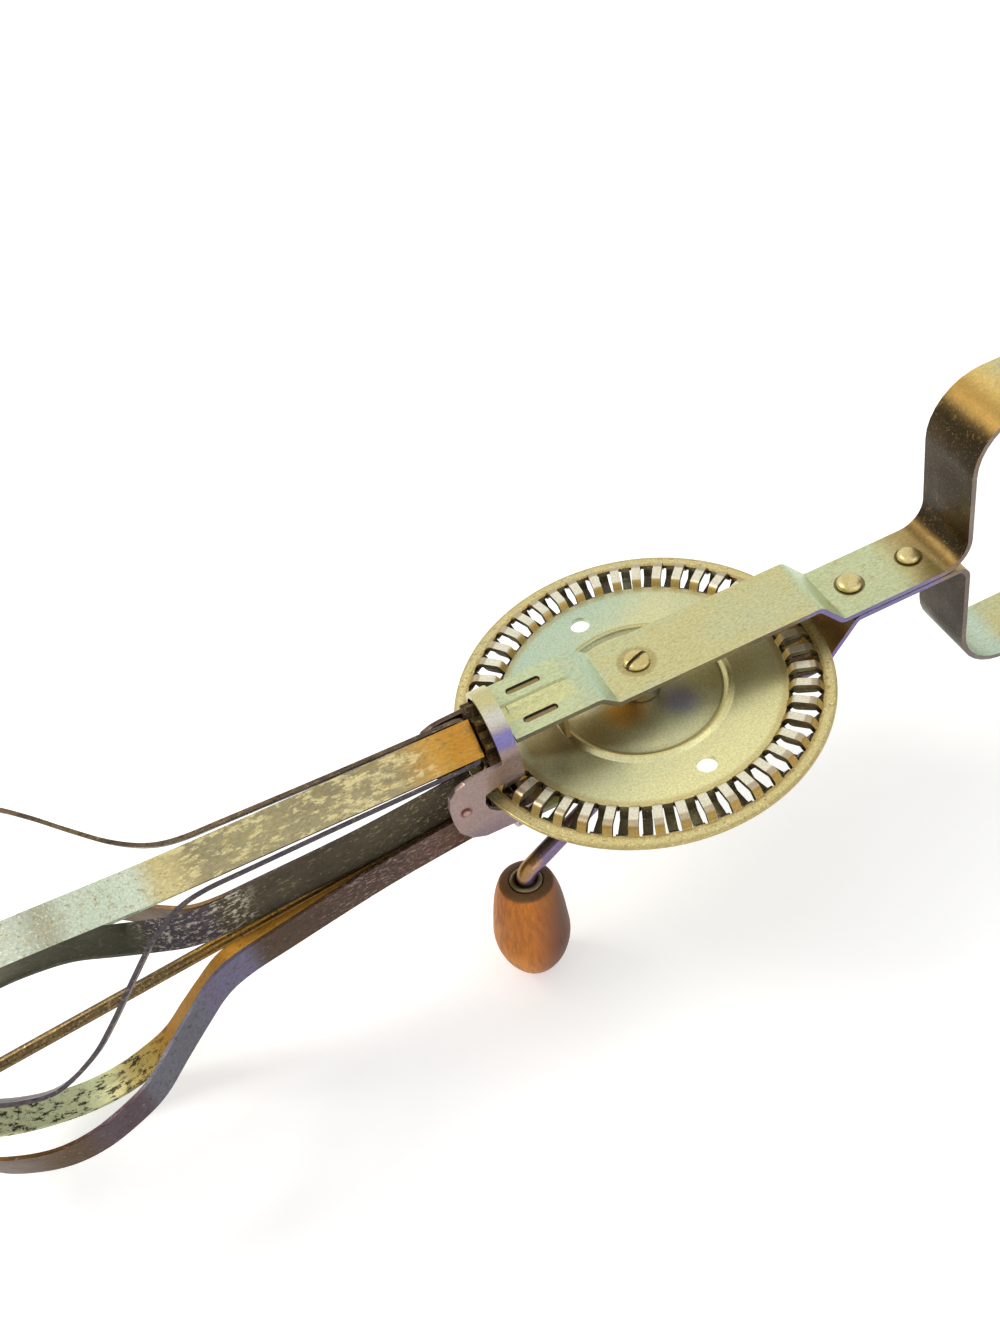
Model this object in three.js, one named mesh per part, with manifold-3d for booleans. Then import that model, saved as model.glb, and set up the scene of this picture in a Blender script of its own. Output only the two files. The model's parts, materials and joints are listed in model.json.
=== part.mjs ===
import * as THREE from 'three';
import { mergeVertices } from 'three/addons/utils/BufferGeometryUtils.js';
import Module from 'manifold-3d';

const wasm = await Module();
wasm.setup();

// Lengths are in millimetres. X runs along the beater towards the handle, Z is the wheel's axis.
// The wheel's mid-plane and its axis meet at the zero point until the whole part is set on its base.

// Clearances
const fitGap = 0.3;
const meshGap = 0.5;
const weldReach = 0.004;

// Drive wheel
const wheelRadius = 42;
const wheelSheet = 1.2;
const rimWidth = 2.9;
const toothLength = 7.2;
const toothRise = 2.1;
const toothRun = 1.5;
const toothCount = 45;
const toothWidth = 2.05;
const beadSideShare = 0.8;
const beadWidth = 4.6;
const beadRise = 1.1;
const domeRise = 0.6;
const wheelHoleRadius = 2.3;
const beadRadius = 19.1;
const domeEdge = 16;
const wheelHoleReach = 25.6;
const wheelHoleAngles = [95.9, -85.5];

// Pinions
const pinionLength = 4;
const pinionInset = 0.4;
const pinionTeeth = 9;
const pinionRootWidth = 2.6;
const pinionTipWidth = 1.1;

// Axle and crank
const axleRadius = 2.1;
const hubWall = 1.9;
const washerSheet = 1;
const screwRise = 1.1;
const screwReach = 0.85;
const screwSlotWidth = 0.9;
const screwSlotDepth = 0.55;
const crankDrop = 17.4;
const crankLength = 42;
const axleBendRadius = 4.5;
const pinBendRadius = 2.5;
const crankAzimuth = -160.15;
const crankSlope = 7;
const pinLean = 6.5;

// Knob
const knobLength = 31;
const knobRadius = 8.8;
const knobSetback = 2.3;
const ferruleWall = 1.25;
const ferruleLength = 4.2;
const ferruleLip = 0.5;
const knobEndWall = 6.7;
const knobRunShares = [0, 0, 0.03, 0.148, 0.28, 0.413, 0.529, 0.63, 0.73, 0.81, 0.889, 0.95, 0.985, 1, 1];
const knobReachShares = [0, 0.5, 0.72, 0.845, 0.92, 0.966, 1, 0.97, 0.88, 0.76, 0.593, 0.39, 0.24, 0.13, 0];

// Frame strap
const strapWidth = 16.8;
const strapSheet = 1.2;
const raiseRise = 3.3;
const armLength = 40.7;
const neckLength = 32.3;
const gripLength = 55.9;
const gripFrontHeight = 40.3;
const gripRearHeight = 34.4;
const neckBendFront = 6.9;
const neckBendRear = 3.1;
const gripCornerRadius = 13;
const gripEndRadius = 28;
const jogBend = 2;
const ribWidth = 2.4;
const ribRise = 0.6;
const neckOffset = 2.1;
const hubReachShare = 0.2;
const raiseRunShare = 1.15;
const neckRunShare = 0.85;
const slotInset = 3.4;
const slotLength = 8;
const slotSpacing = 9.24;
const slotWidth = 1.8;
const ribLength = 12.3;

// Neck rivets
const innerRivetRadius = 2.9;
const outerRivetRadius = 2.6;
const rivetTailRadius = 2.3;
const rivetShank = 1.6;
const rivetRise = 1.3;

// Pinion saddle
const saddleSheet = 1;
const archSheet = 1.2;
const saddleBand = 4.1;
const archGap = 0.6;
const earReach = 8;
const dimpleRadius = 1;
const dimpleRise = 0.4;
const tongueWidth = 12.1;
const earReachShares = [0.24, 0.64, 0.92, 1, 1, 0.92, 0.71, 0.42, 0.15];
const earRiseShares = [-1.14, -0.98, -0.62, -0.2, 0.3, 0.64, 0.855, 0.95, 0.98];
const jawRiseShare = 0.75;
const jawFootShares = [0.4, 0.73];
const earFootShare = 1.16;
const dimplePlaceShare = 0.6;
const tabRiseShare = 0.6;

// Beaters
const shaftRadius = 1.45;
const stripWidth = 8.5;
const loopSheet = 0.9;
const dasherLength = 141;
const tailWasherRadius = 2.6;
const collarWall = 1.6;
const collarLength = 2.2;
const headRise = 0.9;
const headWall = 0.8;
const frontFlareRadius = 30;
const rearFlareRadius = 28.7;
const flareWidth = 7.6;
const cageGap = 3.4;
const flareRunShare = 0.754;
const frontLean = 2.8;
const frontSkew = -1.3;
const rearSkew = 0;
const frontTurn = -39;
const rearTurn = -2.7;
const bladeRunShares = [
  0.218, 0.396, 0.471, 0.516, 0.56, 0.605, 0.65, 0.694, 0.754, 0.813, 0.873, 0.922, 0.962, 0.989,
];
const frontBladeReachShares = [
  0.005, 0.02, 0.032, 0.092, 0.238, 0.456, 0.689, 0.875, 1, 0.943, 0.793, 0.612, 0.383, 0.15,
];
const rearBladeReachShares = [
  0.01, 0.085, 0.125, 0.205, 0.39, 0.6, 0.815, 0.925, 1, 0.975, 0.843, 0.665, 0.413, 0.16,
];

// Rounded heads of rivets, screw and shafts
const headReachShares = [1, 0.85, 0.5];
const headRiseShares = [0.33, 0.75, 1];

// Facets
const wheelFacets = 72;
const discFacets = 45;
const rodFacets = 12;
const ringFacets = 18;
const knobFacets = 24;
const archFacets = 16;
const bendStep = 12;
const bladePoints = 28;
const degree = Math.PI / 180;

// Heights that follow from the gear train
const toothOuterRadius = wheelRadius - rimWidth;
const toothInnerRadius = toothOuterRadius - toothLength;
const meshRadius = toothOuterRadius - pinionInset - pinionLength / 2;
const pitchRadius = meshRadius * pinionTeeth / toothCount;
const wheelHalf = wheelSheet / 2;
const shaftHeight = pitchRadius + wheelHalf + toothRise / 2;
const pinionTip = shaftHeight - wheelHalf - meshGap;
const pinionRoot = shaftHeight - wheelHalf - toothRise - meshGap;
const flareSpacing = Math.max(frontFlareRadius, rearFlareRadius) + shaftRadius + cageGap;
const leanSpread = (flareSpacing - 2 * shaftHeight) / (flareRunShare * dasherLength);
const rearLean = Math.asin(leanSpread - Math.sin(frontLean * degree)) / degree;
const archInner = pinionTip + archGap;
const archOuter = archInner + archSheet;
const tongueInner = shaftHeight + shaftRadius + fitGap;
const tongueOuter = tongueInner + saddleSheet;
const raisedInner = tongueOuter + fitGap;
const strapInner = raisedInner - raiseRise;
const strapOuter = strapInner + strapSheet;

// Places along X
const tiltReach = pinionTip * Math.sin(Math.max(frontLean, rearLean) * degree);
const plateOuter = -(meshRadius - pinionLength / 2 - fitGap - tiltReach);
const plateInner = plateOuter + archSheet;
const bandEdge = plateInner - saddleBand;
const strapEnd = plateInner + fitGap;
const hubReach = wheelRadius * hubReachShare;
const raiseTop = -(hubReach + raiseRise * raiseRunShare);
const slotStart = strapEnd + slotInset;
const slotEnd = slotStart + slotLength;
const wallEnd = slotEnd + saddleSheet;
const neckStep = (strapSheet + fitGap) / 2;
const strapMid = strapInner + strapSheet / 2;
const frontNeck = neckOffset + neckStep;
const rearNeck = neckOffset - neckStep;
const frontNeckStart = armLength + (strapMid - frontNeck) * neckRunShare;
const rearNeckStart = armLength + (strapMid + rearNeck) * neckRunShare;
const uprightX = frontNeckStart + neckLength;
const gripEndX = uprightX + gripLength;
const innerRivetX = rearNeckStart + innerRivetRadius + fitGap;
const outerRivetX = uprightX - neckBendFront - outerRivetRadius - 2 * fitGap;

// Solids from geometry
function solidOf(geometry) {
  const bare = new THREE.BufferGeometry();
  bare.setAttribute('position', geometry.getAttribute('position'));
  if (geometry.index) bare.setIndex(geometry.index);
  const welded = mergeVertices(bare);
  const source = welded.index.array;
  const corners = [];
  for (let i = 0; i < source.length; i += 3) {
    const [a, b, c] = [source[i], source[i + 1], source[i + 2]];
    if (a !== b && b !== c && c !== a) corners.push(a, b, c);
  }
  const vertProperties = new Float32Array(welded.getAttribute('position').array);
  const build = (list) => new wasm.Manifold(new wasm.Mesh({
    numProp: 3,
    vertProperties,
    triVerts: new Uint32Array(list),
  }));
  const solid = build(corners);
  if (solid.volume() > 0) return solid;
  for (let i = 0; i < corners.length; i += 3) {
    [corners[i], corners[i + 1]] = [corners[i + 1], corners[i]];
  }
  return build(corners);
}

function geometryOf(solid) {
  const mesh = solid.asOriginal().simplify(weldReach).getMesh();
  const geometry = new THREE.BufferGeometry();
  const positions = new Float32Array(mesh.numVert * 3);
  for (let i = 0; i < mesh.numVert; i += 1) {
    for (let k = 0; k < 3; k += 1) positions[3 * i + k] = mesh.vertProperties[mesh.numProp * i + k];
  }
  geometry.setAttribute('position', new THREE.BufferAttribute(positions, 3));
  geometry.setIndex(new THREE.BufferAttribute(new Uint32Array(mesh.triVerts), 1));
  geometry.computeVertexNormals();
  return geometry;
}

const unionOf = (solids) => solids.reduce((sum, solid) => sum.add(solid));
const cutAll = (body, tools) => tools.reduce((rest, tool) => rest.subtract(tool), body);

// Prism with its outline in X and Z and its depth along Y
function prismY(points, depth, centreY = 0) {
  const shape = new THREE.Shape(points.map(([x, z]) => new THREE.Vector2(x, z)));
  const geometry = new THREE.ExtrudeGeometry(shape, { depth, steps: 1, bevelEnabled: false });
  geometry.translate(0, 0, -depth / 2);
  geometry.rotateX(Math.PI / 2);
  geometry.translate(0, centreY, 0);
  return solidOf(geometry);
}

// Prism with its outline in Y and Z between two places along X
function prismX(points, fromX, toX) {
  const shape = new THREE.Shape(points.map(([y, z]) => new THREE.Vector2(y, z)));
  const geometry = new THREE.ExtrudeGeometry(shape, {
    depth: toX - fromX,
    steps: 1,
    bevelEnabled: false,
  });
  const turn = new THREE.Matrix4().makeBasis(
    new THREE.Vector3(0, 1, 0),
    new THREE.Vector3(0, 0, 1),
    new THREE.Vector3(1, 0, 0),
  );
  geometry.applyMatrix4(turn);
  geometry.translate(fromX, 0, 0);
  return solidOf(geometry);
}

function block(fromX, toX, fromY, toY, fromZ, toZ) {
  const geometry = new THREE.BoxGeometry(toX - fromX, toY - fromY, toZ - fromZ);
  geometry.translate((fromX + toX) / 2, (fromY + toY) / 2, (fromZ + toZ) / 2);
  return solidOf(geometry);
}

// Turned solid about Z from pairs of radius and height
function turned(profile, facets) {
  const points = profile.map(([radius, height]) => new THREE.Vector2(radius, height));
  const geometry = new THREE.LatheGeometry(points, facets);
  geometry.rotateX(Math.PI / 2);
  return solidOf(geometry);
}

function rod(radius, fromZ, toZ, facets = ringFacets) {
  return turned([[0, fromZ], [radius, fromZ], [radius, toZ], [0, toZ]], facets);
}

function ring(inner, outer, fromZ, toZ, facets = ringFacets) {
  const profile = [[inner, fromZ], [outer, fromZ], [outer, toZ], [inner, toZ], [inner, fromZ]];
  return turned(profile, facets);
}

// Half outline of a rounded head that rises from a seat to the axis
function headProfile(radius, seat, rise) {
  const rounded = headReachShares.map((share, index) => [
    share * radius,
    seat + headRiseShares[index] * rise,
  ]);
  return [[radius, seat], ...rounded, [0, seat + rise]];
}

// Round-cornered path through corners given as place, height and bend radius
function bentPath(corners) {
  const path = [];
  corners.forEach(([x, z, bend], index) => {
    if (!bend || index === 0 || index === corners.length - 1) {
      path.push(new THREE.Vector2(x, z));
      return;
    }
    const here = new THREE.Vector2(x, z);
    const back = new THREE.Vector2(...corners[index - 1].slice(0, 2)).sub(here).normalize();
    const ahead = new THREE.Vector2(...corners[index + 1].slice(0, 2)).sub(here).normalize();
    const turn = Math.PI - Math.acos(THREE.MathUtils.clamp(back.dot(ahead), -1, 1));
    const tangent = bend * Math.tan(turn / 2);
    const toCentre = back.clone().add(ahead).normalize().multiplyScalar(bend / Math.cos(turn / 2));
    const centre = here.clone().add(toCentre);
    const start = here.clone().addScaledVector(back, tangent).sub(centre);
    const sign = Math.sign(back.y * ahead.x - back.x * ahead.y);
    const steps = Math.max(2, Math.ceil(turn / (bendStep * degree)));
    for (let i = 0; i <= steps; i += 1) {
      const arm = start.clone().rotateAround(new THREE.Vector2(), sign * turn * i / steps);
      path.push(centre.clone().add(arm));
    }
  });
  return path;
}

const leftOf = (from, to) => new THREE.Vector2(from.y - to.y, to.x - from.x).normalize();

// Side points of an open path at a set distance to its left
function sidePoints(path, distance) {
  return path.map((point, index) => {
    const before = index > 0 ? leftOf(path[index - 1], point) : null;
    const after = index < path.length - 1 ? leftOf(point, path[index + 1]) : null;
    const first = before ?? after;
    const second = after ?? before;
    const mitre = first.clone().add(second).divideScalar(1 + first.dot(second));
    return point.clone().addScaledVector(mitre, distance);
  });
}

function stripOutline(path, sheet) {
  const left = sidePoints(path, sheet / 2);
  const right = sidePoints(path, -sheet / 2).reverse();
  return [...left, ...right].map((point) => [point.x, point.y]);
}

// Round bar along a bent line that lies in one upright plane
function bentRod(path, radius, azimuth) {
  const out = new THREE.Vector3(Math.cos(azimuth), Math.sin(azimuth), 0);
  const up = new THREE.Vector3(0, 0, 1);
  const side = new THREE.Vector3().crossVectors(out, up);
  const positions = [];
  const index = [];
  const edge = sidePoints(path, radius);
  path.forEach((point, i) => {
    const centre = out.clone().multiplyScalar(point.x).addScaledVector(up, point.y);
    const reach = edge[i].clone().sub(point);
    const left = out.clone().multiplyScalar(reach.x).addScaledVector(up, reach.y);
    for (let k = 0; k < rodFacets; k += 1) {
      const angle = 2 * Math.PI * k / rodFacets;
      const corner = centre.clone().addScaledVector(left, Math.cos(angle));
      corner.addScaledVector(side, radius * Math.sin(angle));
      positions.push(corner.x, corner.y, corner.z);
    }
  });
  for (let i = 0; i < path.length - 1; i += 1) {
    for (let k = 0; k < rodFacets; k += 1) {
      const next = (k + 1) % rodFacets;
      const [a, b] = [i * rodFacets + k, i * rodFacets + next];
      index.push(a, b, b + rodFacets, a, b + rodFacets, a + rodFacets);
    }
  }
  const last = (path.length - 1) * rodFacets;
  for (let k = 1; k < rodFacets - 1; k += 1) {
    index.push(0, k + 1, k, last, last + k, last + k + 1);
  }
  const geometry = new THREE.BufferGeometry();
  geometry.setAttribute('position', new THREE.Float32BufferAttribute(positions, 3));
  geometry.setIndex(index);
  return solidOf(geometry);
}

// Places and directions of the two beaters and the knob
function frameAt(origin, axis) {
  const third = new THREE.Vector3(0, 1, 0).cross(axis).normalize();
  const across = axis.clone().cross(third);
  return new THREE.Matrix4().makeBasis(third, across, axis).setPosition(origin);
}

function beaterFrame(side, lean, skew) {
  const out = Math.cos(lean * degree);
  const turn = skew * degree;
  const rise = side * Math.sin(lean * degree);
  const axis = new THREE.Vector3(-out * Math.cos(turn), out * Math.sin(turn), rise);
  return frameAt(new THREE.Vector3(-meshRadius, 0, side * shaftHeight), axis);
}

const frontFrame = beaterFrame(1, frontLean, frontSkew);
const rearFrame = beaterFrame(-1, rearLean, rearSkew);
const crankAngle = crankAzimuth * degree;
const crankOut = new THREE.Vector3(Math.cos(crankAngle), Math.sin(crankAngle), 0);
const elbow = [
  crankLength * Math.cos(crankSlope * degree),
  -crankDrop - crankLength * Math.sin(crankSlope * degree),
];
const pinWay = [Math.sin(pinLean * degree), -Math.cos(pinLean * degree)];
const pinLength = knobSetback + knobLength - knobEndWall;
const knobTurn = new THREE.Matrix4().makeRotationFromQuaternion(
  new THREE.Quaternion().setFromUnitVectors(
    new THREE.Vector3(0, 0, 1),
    crankOut.clone().multiplyScalar(pinWay[0]).setZ(pinWay[1]).normalize(),
  ),
);
const knobPlace = crankOut.clone().multiplyScalar(elbow[0] + knobSetback * pinWay[0]);
knobPlace.setZ(elbow[1] + knobSetback * pinWay[1]);
const knobFrame = new THREE.Matrix4().makeTranslation(knobPlace).multiply(knobTurn);

// Drive wheel
function wheelBar(side) {
  const overlap = meshGap;
  const crest = side * toothRise;
  const top = [
    [toothInnerRadius - overlap, 0],
    [toothInnerRadius, 0],
    [toothInnerRadius + toothRun, crest],
    [toothOuterRadius - toothRun, crest],
    [toothOuterRadius, 0],
    [toothOuterRadius + overlap, 0],
  ];
  const upper = top.map(([x, z]) => [x, z + wheelHalf]);
  const lower = top.map(([x, z]) => [x, z - wheelHalf]).reverse();
  const shape = new THREE.Shape([...upper, ...lower].map(([x, z]) => new THREE.Vector2(x, z)));
  const geometry = new THREE.ExtrudeGeometry(shape, {
    depth: toothWidth,
    steps: 1,
    bevelEnabled: false,
  });
  geometry.translate(0, 0, -toothWidth / 2);
  geometry.rotateX(Math.PI / 2);
  const place = geometry.getAttribute('position');
  for (let i = 0; i < place.count; i += 1) {
    place.setY(i, place.getY(i) * place.getX(i) / meshRadius);
  }
  return solidOf(geometry);
}

function driveWheel() {
  const bead = beadRadius;
  const hub = axleRadius + hubWall + fitGap;
  const boss = hub + meshGap;
  const middle = [
    [axleRadius + fitGap, domeRise],
    [boss, domeRise],
    [Math.min(domeEdge, bead - beadWidth / 2), 0],
    [bead - beadWidth / 5, beadRise * beadSideShare],
    [bead, beadRise],
    [bead + beadWidth / 5, beadRise * beadSideShare],
    [bead + beadWidth / 2, 0],
    [toothInnerRadius, 0],
  ];
  const upper = middle.map(([radius, height]) => [radius, height + wheelHalf]);
  const lower = middle.map(([radius, height]) => [radius, height - wheelHalf]).reverse();
  const disc = turned([...upper, ...lower, upper[0]], discFacets);
  const flange = ring(toothOuterRadius, wheelRadius, -wheelHalf, wheelHalf, wheelFacets);
  const raised = wheelBar(1);
  const sunk = wheelBar(-1);
  const bars = [];
  for (let k = 0; k < toothCount; k += 1) {
    bars.push(raised.rotate([0, 0, 360 * k / toothCount]));
    bars.push(sunk.rotate([0, 0, 360 * (k + 1 / 2) / toothCount]));
  }
  const body = wasm.Manifold.union([disc, flange, ...bars]);
  const holes = wheelHoleAngles.map((angle) => rod(wheelHoleRadius, -wheelSheet, wheelSheet, rodFacets)
    .translate([wheelHoleReach, 0, 0])
    .rotate([0, 0, angle]));
  return cutAll(body, holes);
}

// Frame strap
function frameStrap() {
  const raised = raisedInner + strapSheet / 2;
  const jog = jogBend;
  const path = bentPath([
    [strapEnd, raised],
    [raiseTop, raised, jog],
    [-hubReach, strapMid, jog],
    [armLength, strapMid, jog],
    [frontNeckStart, frontNeck, jog],
    [uprightX, frontNeck, neckBendFront],
    [uprightX, gripFrontHeight, gripCornerRadius],
    [gripEndX, gripFrontHeight, gripEndRadius],
    [gripEndX, -gripRearHeight, gripEndRadius],
    [uprightX, -gripRearHeight, gripCornerRadius],
    [uprightX, rearNeck, neckBendRear],
    [rearNeckStart, rearNeck, jog],
    [armLength, -strapMid, jog],
    [-hubReach, -strapMid, jog],
    [raiseTop, -raised, jog],
    [strapEnd, -raised],
  ]);
  const strip = prismY(stripOutline(path, strapSheet), strapWidth);
  const raisedOuter = raisedInner + strapSheet;
  const ribStart = strapEnd + slotInset / 2;
  const ribs = [1, -1].map((side) => {
    const low = side * (raisedOuter - strapSheet / 2);
    const high = side * (raisedOuter + ribRise);
    return prismX([
      [-ribWidth / 2, low],
      [ribWidth / 2, low],
      [ribWidth / 2, side * raisedOuter],
      [ribWidth / 4, high],
      [-ribWidth / 4, high],
      [-ribWidth / 2, side * raisedOuter],
    ], ribStart, ribStart + ribLength);
  });
  const tools = [];
  for (const side of [1, -1]) {
    for (const across of [1, -1]) {
      const edge = across * slotSpacing / 2;
      const [from, to] = [side * (raisedInner - fitGap), side * (raisedOuter + ribRise)];
      tools.push(block(
        slotStart, slotEnd,
        edge - slotWidth / 2, edge + slotWidth / 2,
        Math.min(from, to), Math.max(from, to),
      ));
    }
  }
  tools.push(rod(axleRadius + fitGap, -strapOuter - fitGap, strapOuter + fitGap));
  for (const place of [innerRivetX, outerRivetX]) {
    tools.push(rod(rivetShank + fitGap, -strapOuter, strapOuter).translate([place, 0, 0]));
  }
  return cutAll(unionOf([strip, ...ribs]), tools);
}

function neckRivet(place, headRadius) {
  const top = frontNeck + strapSheet / 2 + fitGap;
  const foot = rearNeck - strapSheet / 2 - fitGap;
  const tail = Math.min(rivetTailRadius, headRadius);
  return turned([
    ...headProfile(tail, foot, -rivetRise).reverse(),
    [rivetShank, foot],
    [rivetShank, top],
    ...headProfile(headRadius, top, rivetRise),
  ], ringFacets).translate([place, 0, 0]);
}

// Pinion saddle
function pinionSaddle() {
  const lip = wheelHalf + toothRise + 2 * fitGap;
  const parts = [];
  const earOutline = [
    [plateInner, shaftHeight],
    [plateInner, lip],
    [-toothOuterRadius, lip],
    [-wheelRadius + fitGap, lip * jawRiseShare],
    [-wheelRadius - fitGap, 0],
    [-wheelRadius + fitGap, -lip * jawRiseShare],
    [-wheelRadius + rimWidth / 2, -shaftHeight * jawFootShares[0]],
    [bandEdge, -shaftHeight * jawFootShares[1]],
    [plateInner, -shaftHeight * jawFootShares[1]],
    [plateInner, -shaftHeight],
    [bandEdge, -shaftHeight * earFootShare],
    ...earReachShares.map((share, index) => [
      -wheelRadius - earReach * share,
      shaftHeight * earRiseShares[index],
    ]),
    [bandEdge, shaftHeight],
  ];
  for (const across of [1, -1]) {
    const mid = across * (archInner + archOuter) / 2;
    parts.push(prismY(earOutline, archSheet, mid));
    const dimple = rod(dimpleRadius, 0, archSheet / 2 + dimpleRise, rodFacets)
      .rotate([-90 * across, 0, 0])
      .translate([-wheelRadius - earReach * dimplePlaceShare, mid, 0]);
    parts.push(dimple);
  }
  for (const side of [1, -1]) {
    const outerArc = [];
    const innerArc = [];
    for (let k = 0; k <= archFacets; k += 1) {
      const angle = Math.PI * k / archFacets;
      const [c, s] = [Math.cos(angle), Math.sin(angle)];
      outerArc.push([archOuter * c, side * (shaftHeight + archOuter * s)]);
      innerArc.push([archInner * c, side * (shaftHeight + archInner * s)]);
    }
    parts.push(prismX([...outerArc, ...innerArc.reverse()], bandEdge, plateInner));
    const seat = archSheet / 2;
    const plateArc = [];
    for (let k = 0; k <= archFacets; k += 1) {
      const angle = Math.PI * k / archFacets;
      const reach = archInner + seat;
      plateArc.push([
        reach * Math.cos(angle),
        side * (shaftHeight + reach * Math.sin(angle)),
      ]);
    }
    const foot = side > 0 ? lip : shaftHeight * jawFootShares[1];
    plateArc.push([-archInner - seat, side * foot], [archInner + seat, side * foot]);
    parts.push(prismX(plateArc, plateOuter, plateInner));
    const span = (fromX, toX, halfWidth, low, high) => block(
      fromX, toX, -halfWidth, halfWidth,
      Math.min(side * low, side * high), Math.max(side * low, side * high),
    );
    const tongue = tongueWidth / 2;
    parts.push(span(plateInner - seat, wallEnd, tongue, tongueInner, tongueOuter));
    const wallFoot = wheelHalf + toothRise + beadRise;
    parts.push(span(wallEnd - saddleSheet, wallEnd, tongue, wallFoot, tongueOuter));
    for (const across of [1, -1]) {
      const inner = across * slotSpacing / 2 - slotWidth / 2 + fitGap;
      const outer = across * slotSpacing / 2 + slotWidth / 2 - fitGap;
      const tabTop = raisedInner + strapSheet * tabRiseShare;
      parts.push(block(
        slotStart + fitGap, slotEnd - fitGap, inner, outer,
        Math.min(side * (tongueInner + seat), side * tabTop),
        Math.max(side * (tongueInner + seat), side * tabTop),
      ));
    }
  }
  const body = wasm.Manifold.union(parts);
  const bore = placed(rod(shaftRadius + fitGap, -dasherLength / 4, 0), frontFrame);
  const rearBore = placed(rod(shaftRadius + fitGap, -dasherLength / 4, 0), rearFrame);
  return cutAll(body, [bore, rearBore]);
}

const placed = (solid, frame) => solid.transform(frame.elements);

// Beaters, drawn about their own axis with the pinion's middle at zero
function pinion() {
  const outline = [];
  for (let k = 0; k < pinionTeeth; k += 1) {
    const middle = 180 * degree + 2 * Math.PI * k / pinionTeeth;
    const root = Math.asin(pinionRootWidth / 2 / pinionRoot);
    const tip = Math.asin(pinionTipWidth / 2 / pinionTip);
    outline.push(
      [pinionRoot, middle - root],
      [pinionTip, middle - tip],
      [pinionTip, middle + tip],
      [pinionRoot, middle + root],
    );
  }
  const shape = new THREE.Shape(outline.map(([radius, angle]) => new THREE.Vector2(
    radius * Math.cos(angle),
    radius * Math.sin(angle),
  )));
  const geometry = new THREE.ExtrudeGeometry(shape, {
    depth: pinionLength,
    steps: 1,
    bevelEnabled: false,
  });
  geometry.translate(0, 0, -pinionLength / 2);
  const bore = rod(shaftRadius + fitGap, -pinionLength, pinionLength);
  return solidOf(geometry).subtract(bore);
}

const loopTop = pinionLength / 2 + fitGap;
const loopStep = loopSheet + fitGap;
const neckRadius = stripWidth / 2 + fitGap + loopSheet;

function loopHalf(start, end, flareRadius, reachShares) {
  const top = start / (end - start);
  const points = [new THREE.Vector2(neckRadius, start + 2 * loopSheet)];
  bladeRunShares.forEach((share, index) => {
    const reach = neckRadius + reachShares[index] * (flareRadius - neckRadius);
    const run = start + (share * (1 + top) - top) * (end - start);
    points.push(new THREE.Vector2(reach, run));
  });
  points.push(new THREE.Vector2(neckRadius, end));
  const curve = new THREE.SplineCurve(points);
  const half = curve.getSpacedPoints(bladePoints);
  return [
    new THREE.Vector2(neckRadius - loopSheet, start),
    new THREE.Vector2(neckRadius - loopSheet / 3, start + loopSheet / 3),
    ...half,
  ];
}

function loop(level, turn, flareRadius, reachShares) {
  const start = loopTop + level * loopStep;
  const end = dasherLength - level * loopStep;
  const half = loopHalf(start, end, flareRadius, reachShares);
  const other = half.map((point) => new THREE.Vector2(-point.x, point.y)).reverse();
  const outer = [...half, ...other];
  const count = outer.length;
  const inner = outer.map((point, index) => {
    const before = leftOf(outer[(index + count - 1) % count], point);
    const after = leftOf(point, outer[(index + 1) % count]);
    const mitre = before.clone().add(after).divideScalar(1 + before.dot(after));
    return point.clone().addScaledVector(mitre, loopSheet);
  });
  const shape = new THREE.Shape(outer);
  shape.holes.push(new THREE.Path(inner));
  const geometry = new THREE.ExtrudeGeometry(shape, { depth: stripWidth, steps: 1, bevelEnabled: false });
  geometry.translate(0, 0, -stripWidth / 2);
  geometry.rotateX(Math.PI / 2);
  const place = geometry.getAttribute('position');
  for (let i = 0; i < place.count; i += 1) {
    const reach = (Math.abs(place.getX(i)) - neckRadius) / (flareRadius - neckRadius);
    const widen = THREE.MathUtils.lerp(1, flareWidth / stripWidth, THREE.MathUtils.clamp(reach, 0, 1));
    place.setY(i, place.getY(i) * widen);
  }
  const bore = rod(shaftRadius + fitGap, 0, dasherLength + loopSheet);
  return solidOf(geometry).subtract(bore).rotate([0, 0, turn]);
}

const tailStart = (wallEnd + meshRadius) / Math.cos(rearLean * degree) + shaftRadius;
const tailRun = tailWasherRadius * Math.sin(rearLean * degree) + fitGap;

function shaft() {
  const tail = -(tailStart + washerSheet + fitGap);
  const end = dasherLength + 2 * fitGap + collarLength;
  const head = shaftRadius + headWall;
  return turned([
    ...headProfile(head, tail, -headRise).reverse(),
    [shaftRadius, tail],
    [shaftRadius, end],
    ...headProfile(head, end, headRise),
  ], rodFacets);
}

function tailWasher() {
  return ring(shaftRadius + fitGap, tailWasherRadius, -tailStart - washerSheet, -tailStart);
}

function tipCollar() {
  const start = dasherLength + fitGap;
  return ring(
    shaftRadius + fitGap,
    shaftRadius + fitGap + collarWall,
    start,
    start + collarLength,
  );
}

// Axle parts
function crankRod() {
  const path = bentPath([
    [0, strapOuter],
    [0, -crankDrop, axleBendRadius],
    [elbow[0], elbow[1], pinBendRadius],
    [elbow[0] + pinLength * pinWay[0], elbow[1] + pinLength * pinWay[1]],
  ]);
  return bentRod(path, axleRadius, crankAngle);
}

function axleScrew() {
  const start = strapOuter + fitGap;
  const reach = axleRadius + screwReach;
  const head = turned([
    [0, start],
    ...headProfile(reach, start, screwRise),
  ], ringFacets);
  const top = start + screwRise;
  const slot = block(
    -reach, reach, -screwSlotWidth / 2, screwSlotWidth / 2,
    top - screwSlotDepth, top + screwRise,
  );
  return head.subtract(slot.rotate([0, 0, crankAzimuth]));
}

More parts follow.
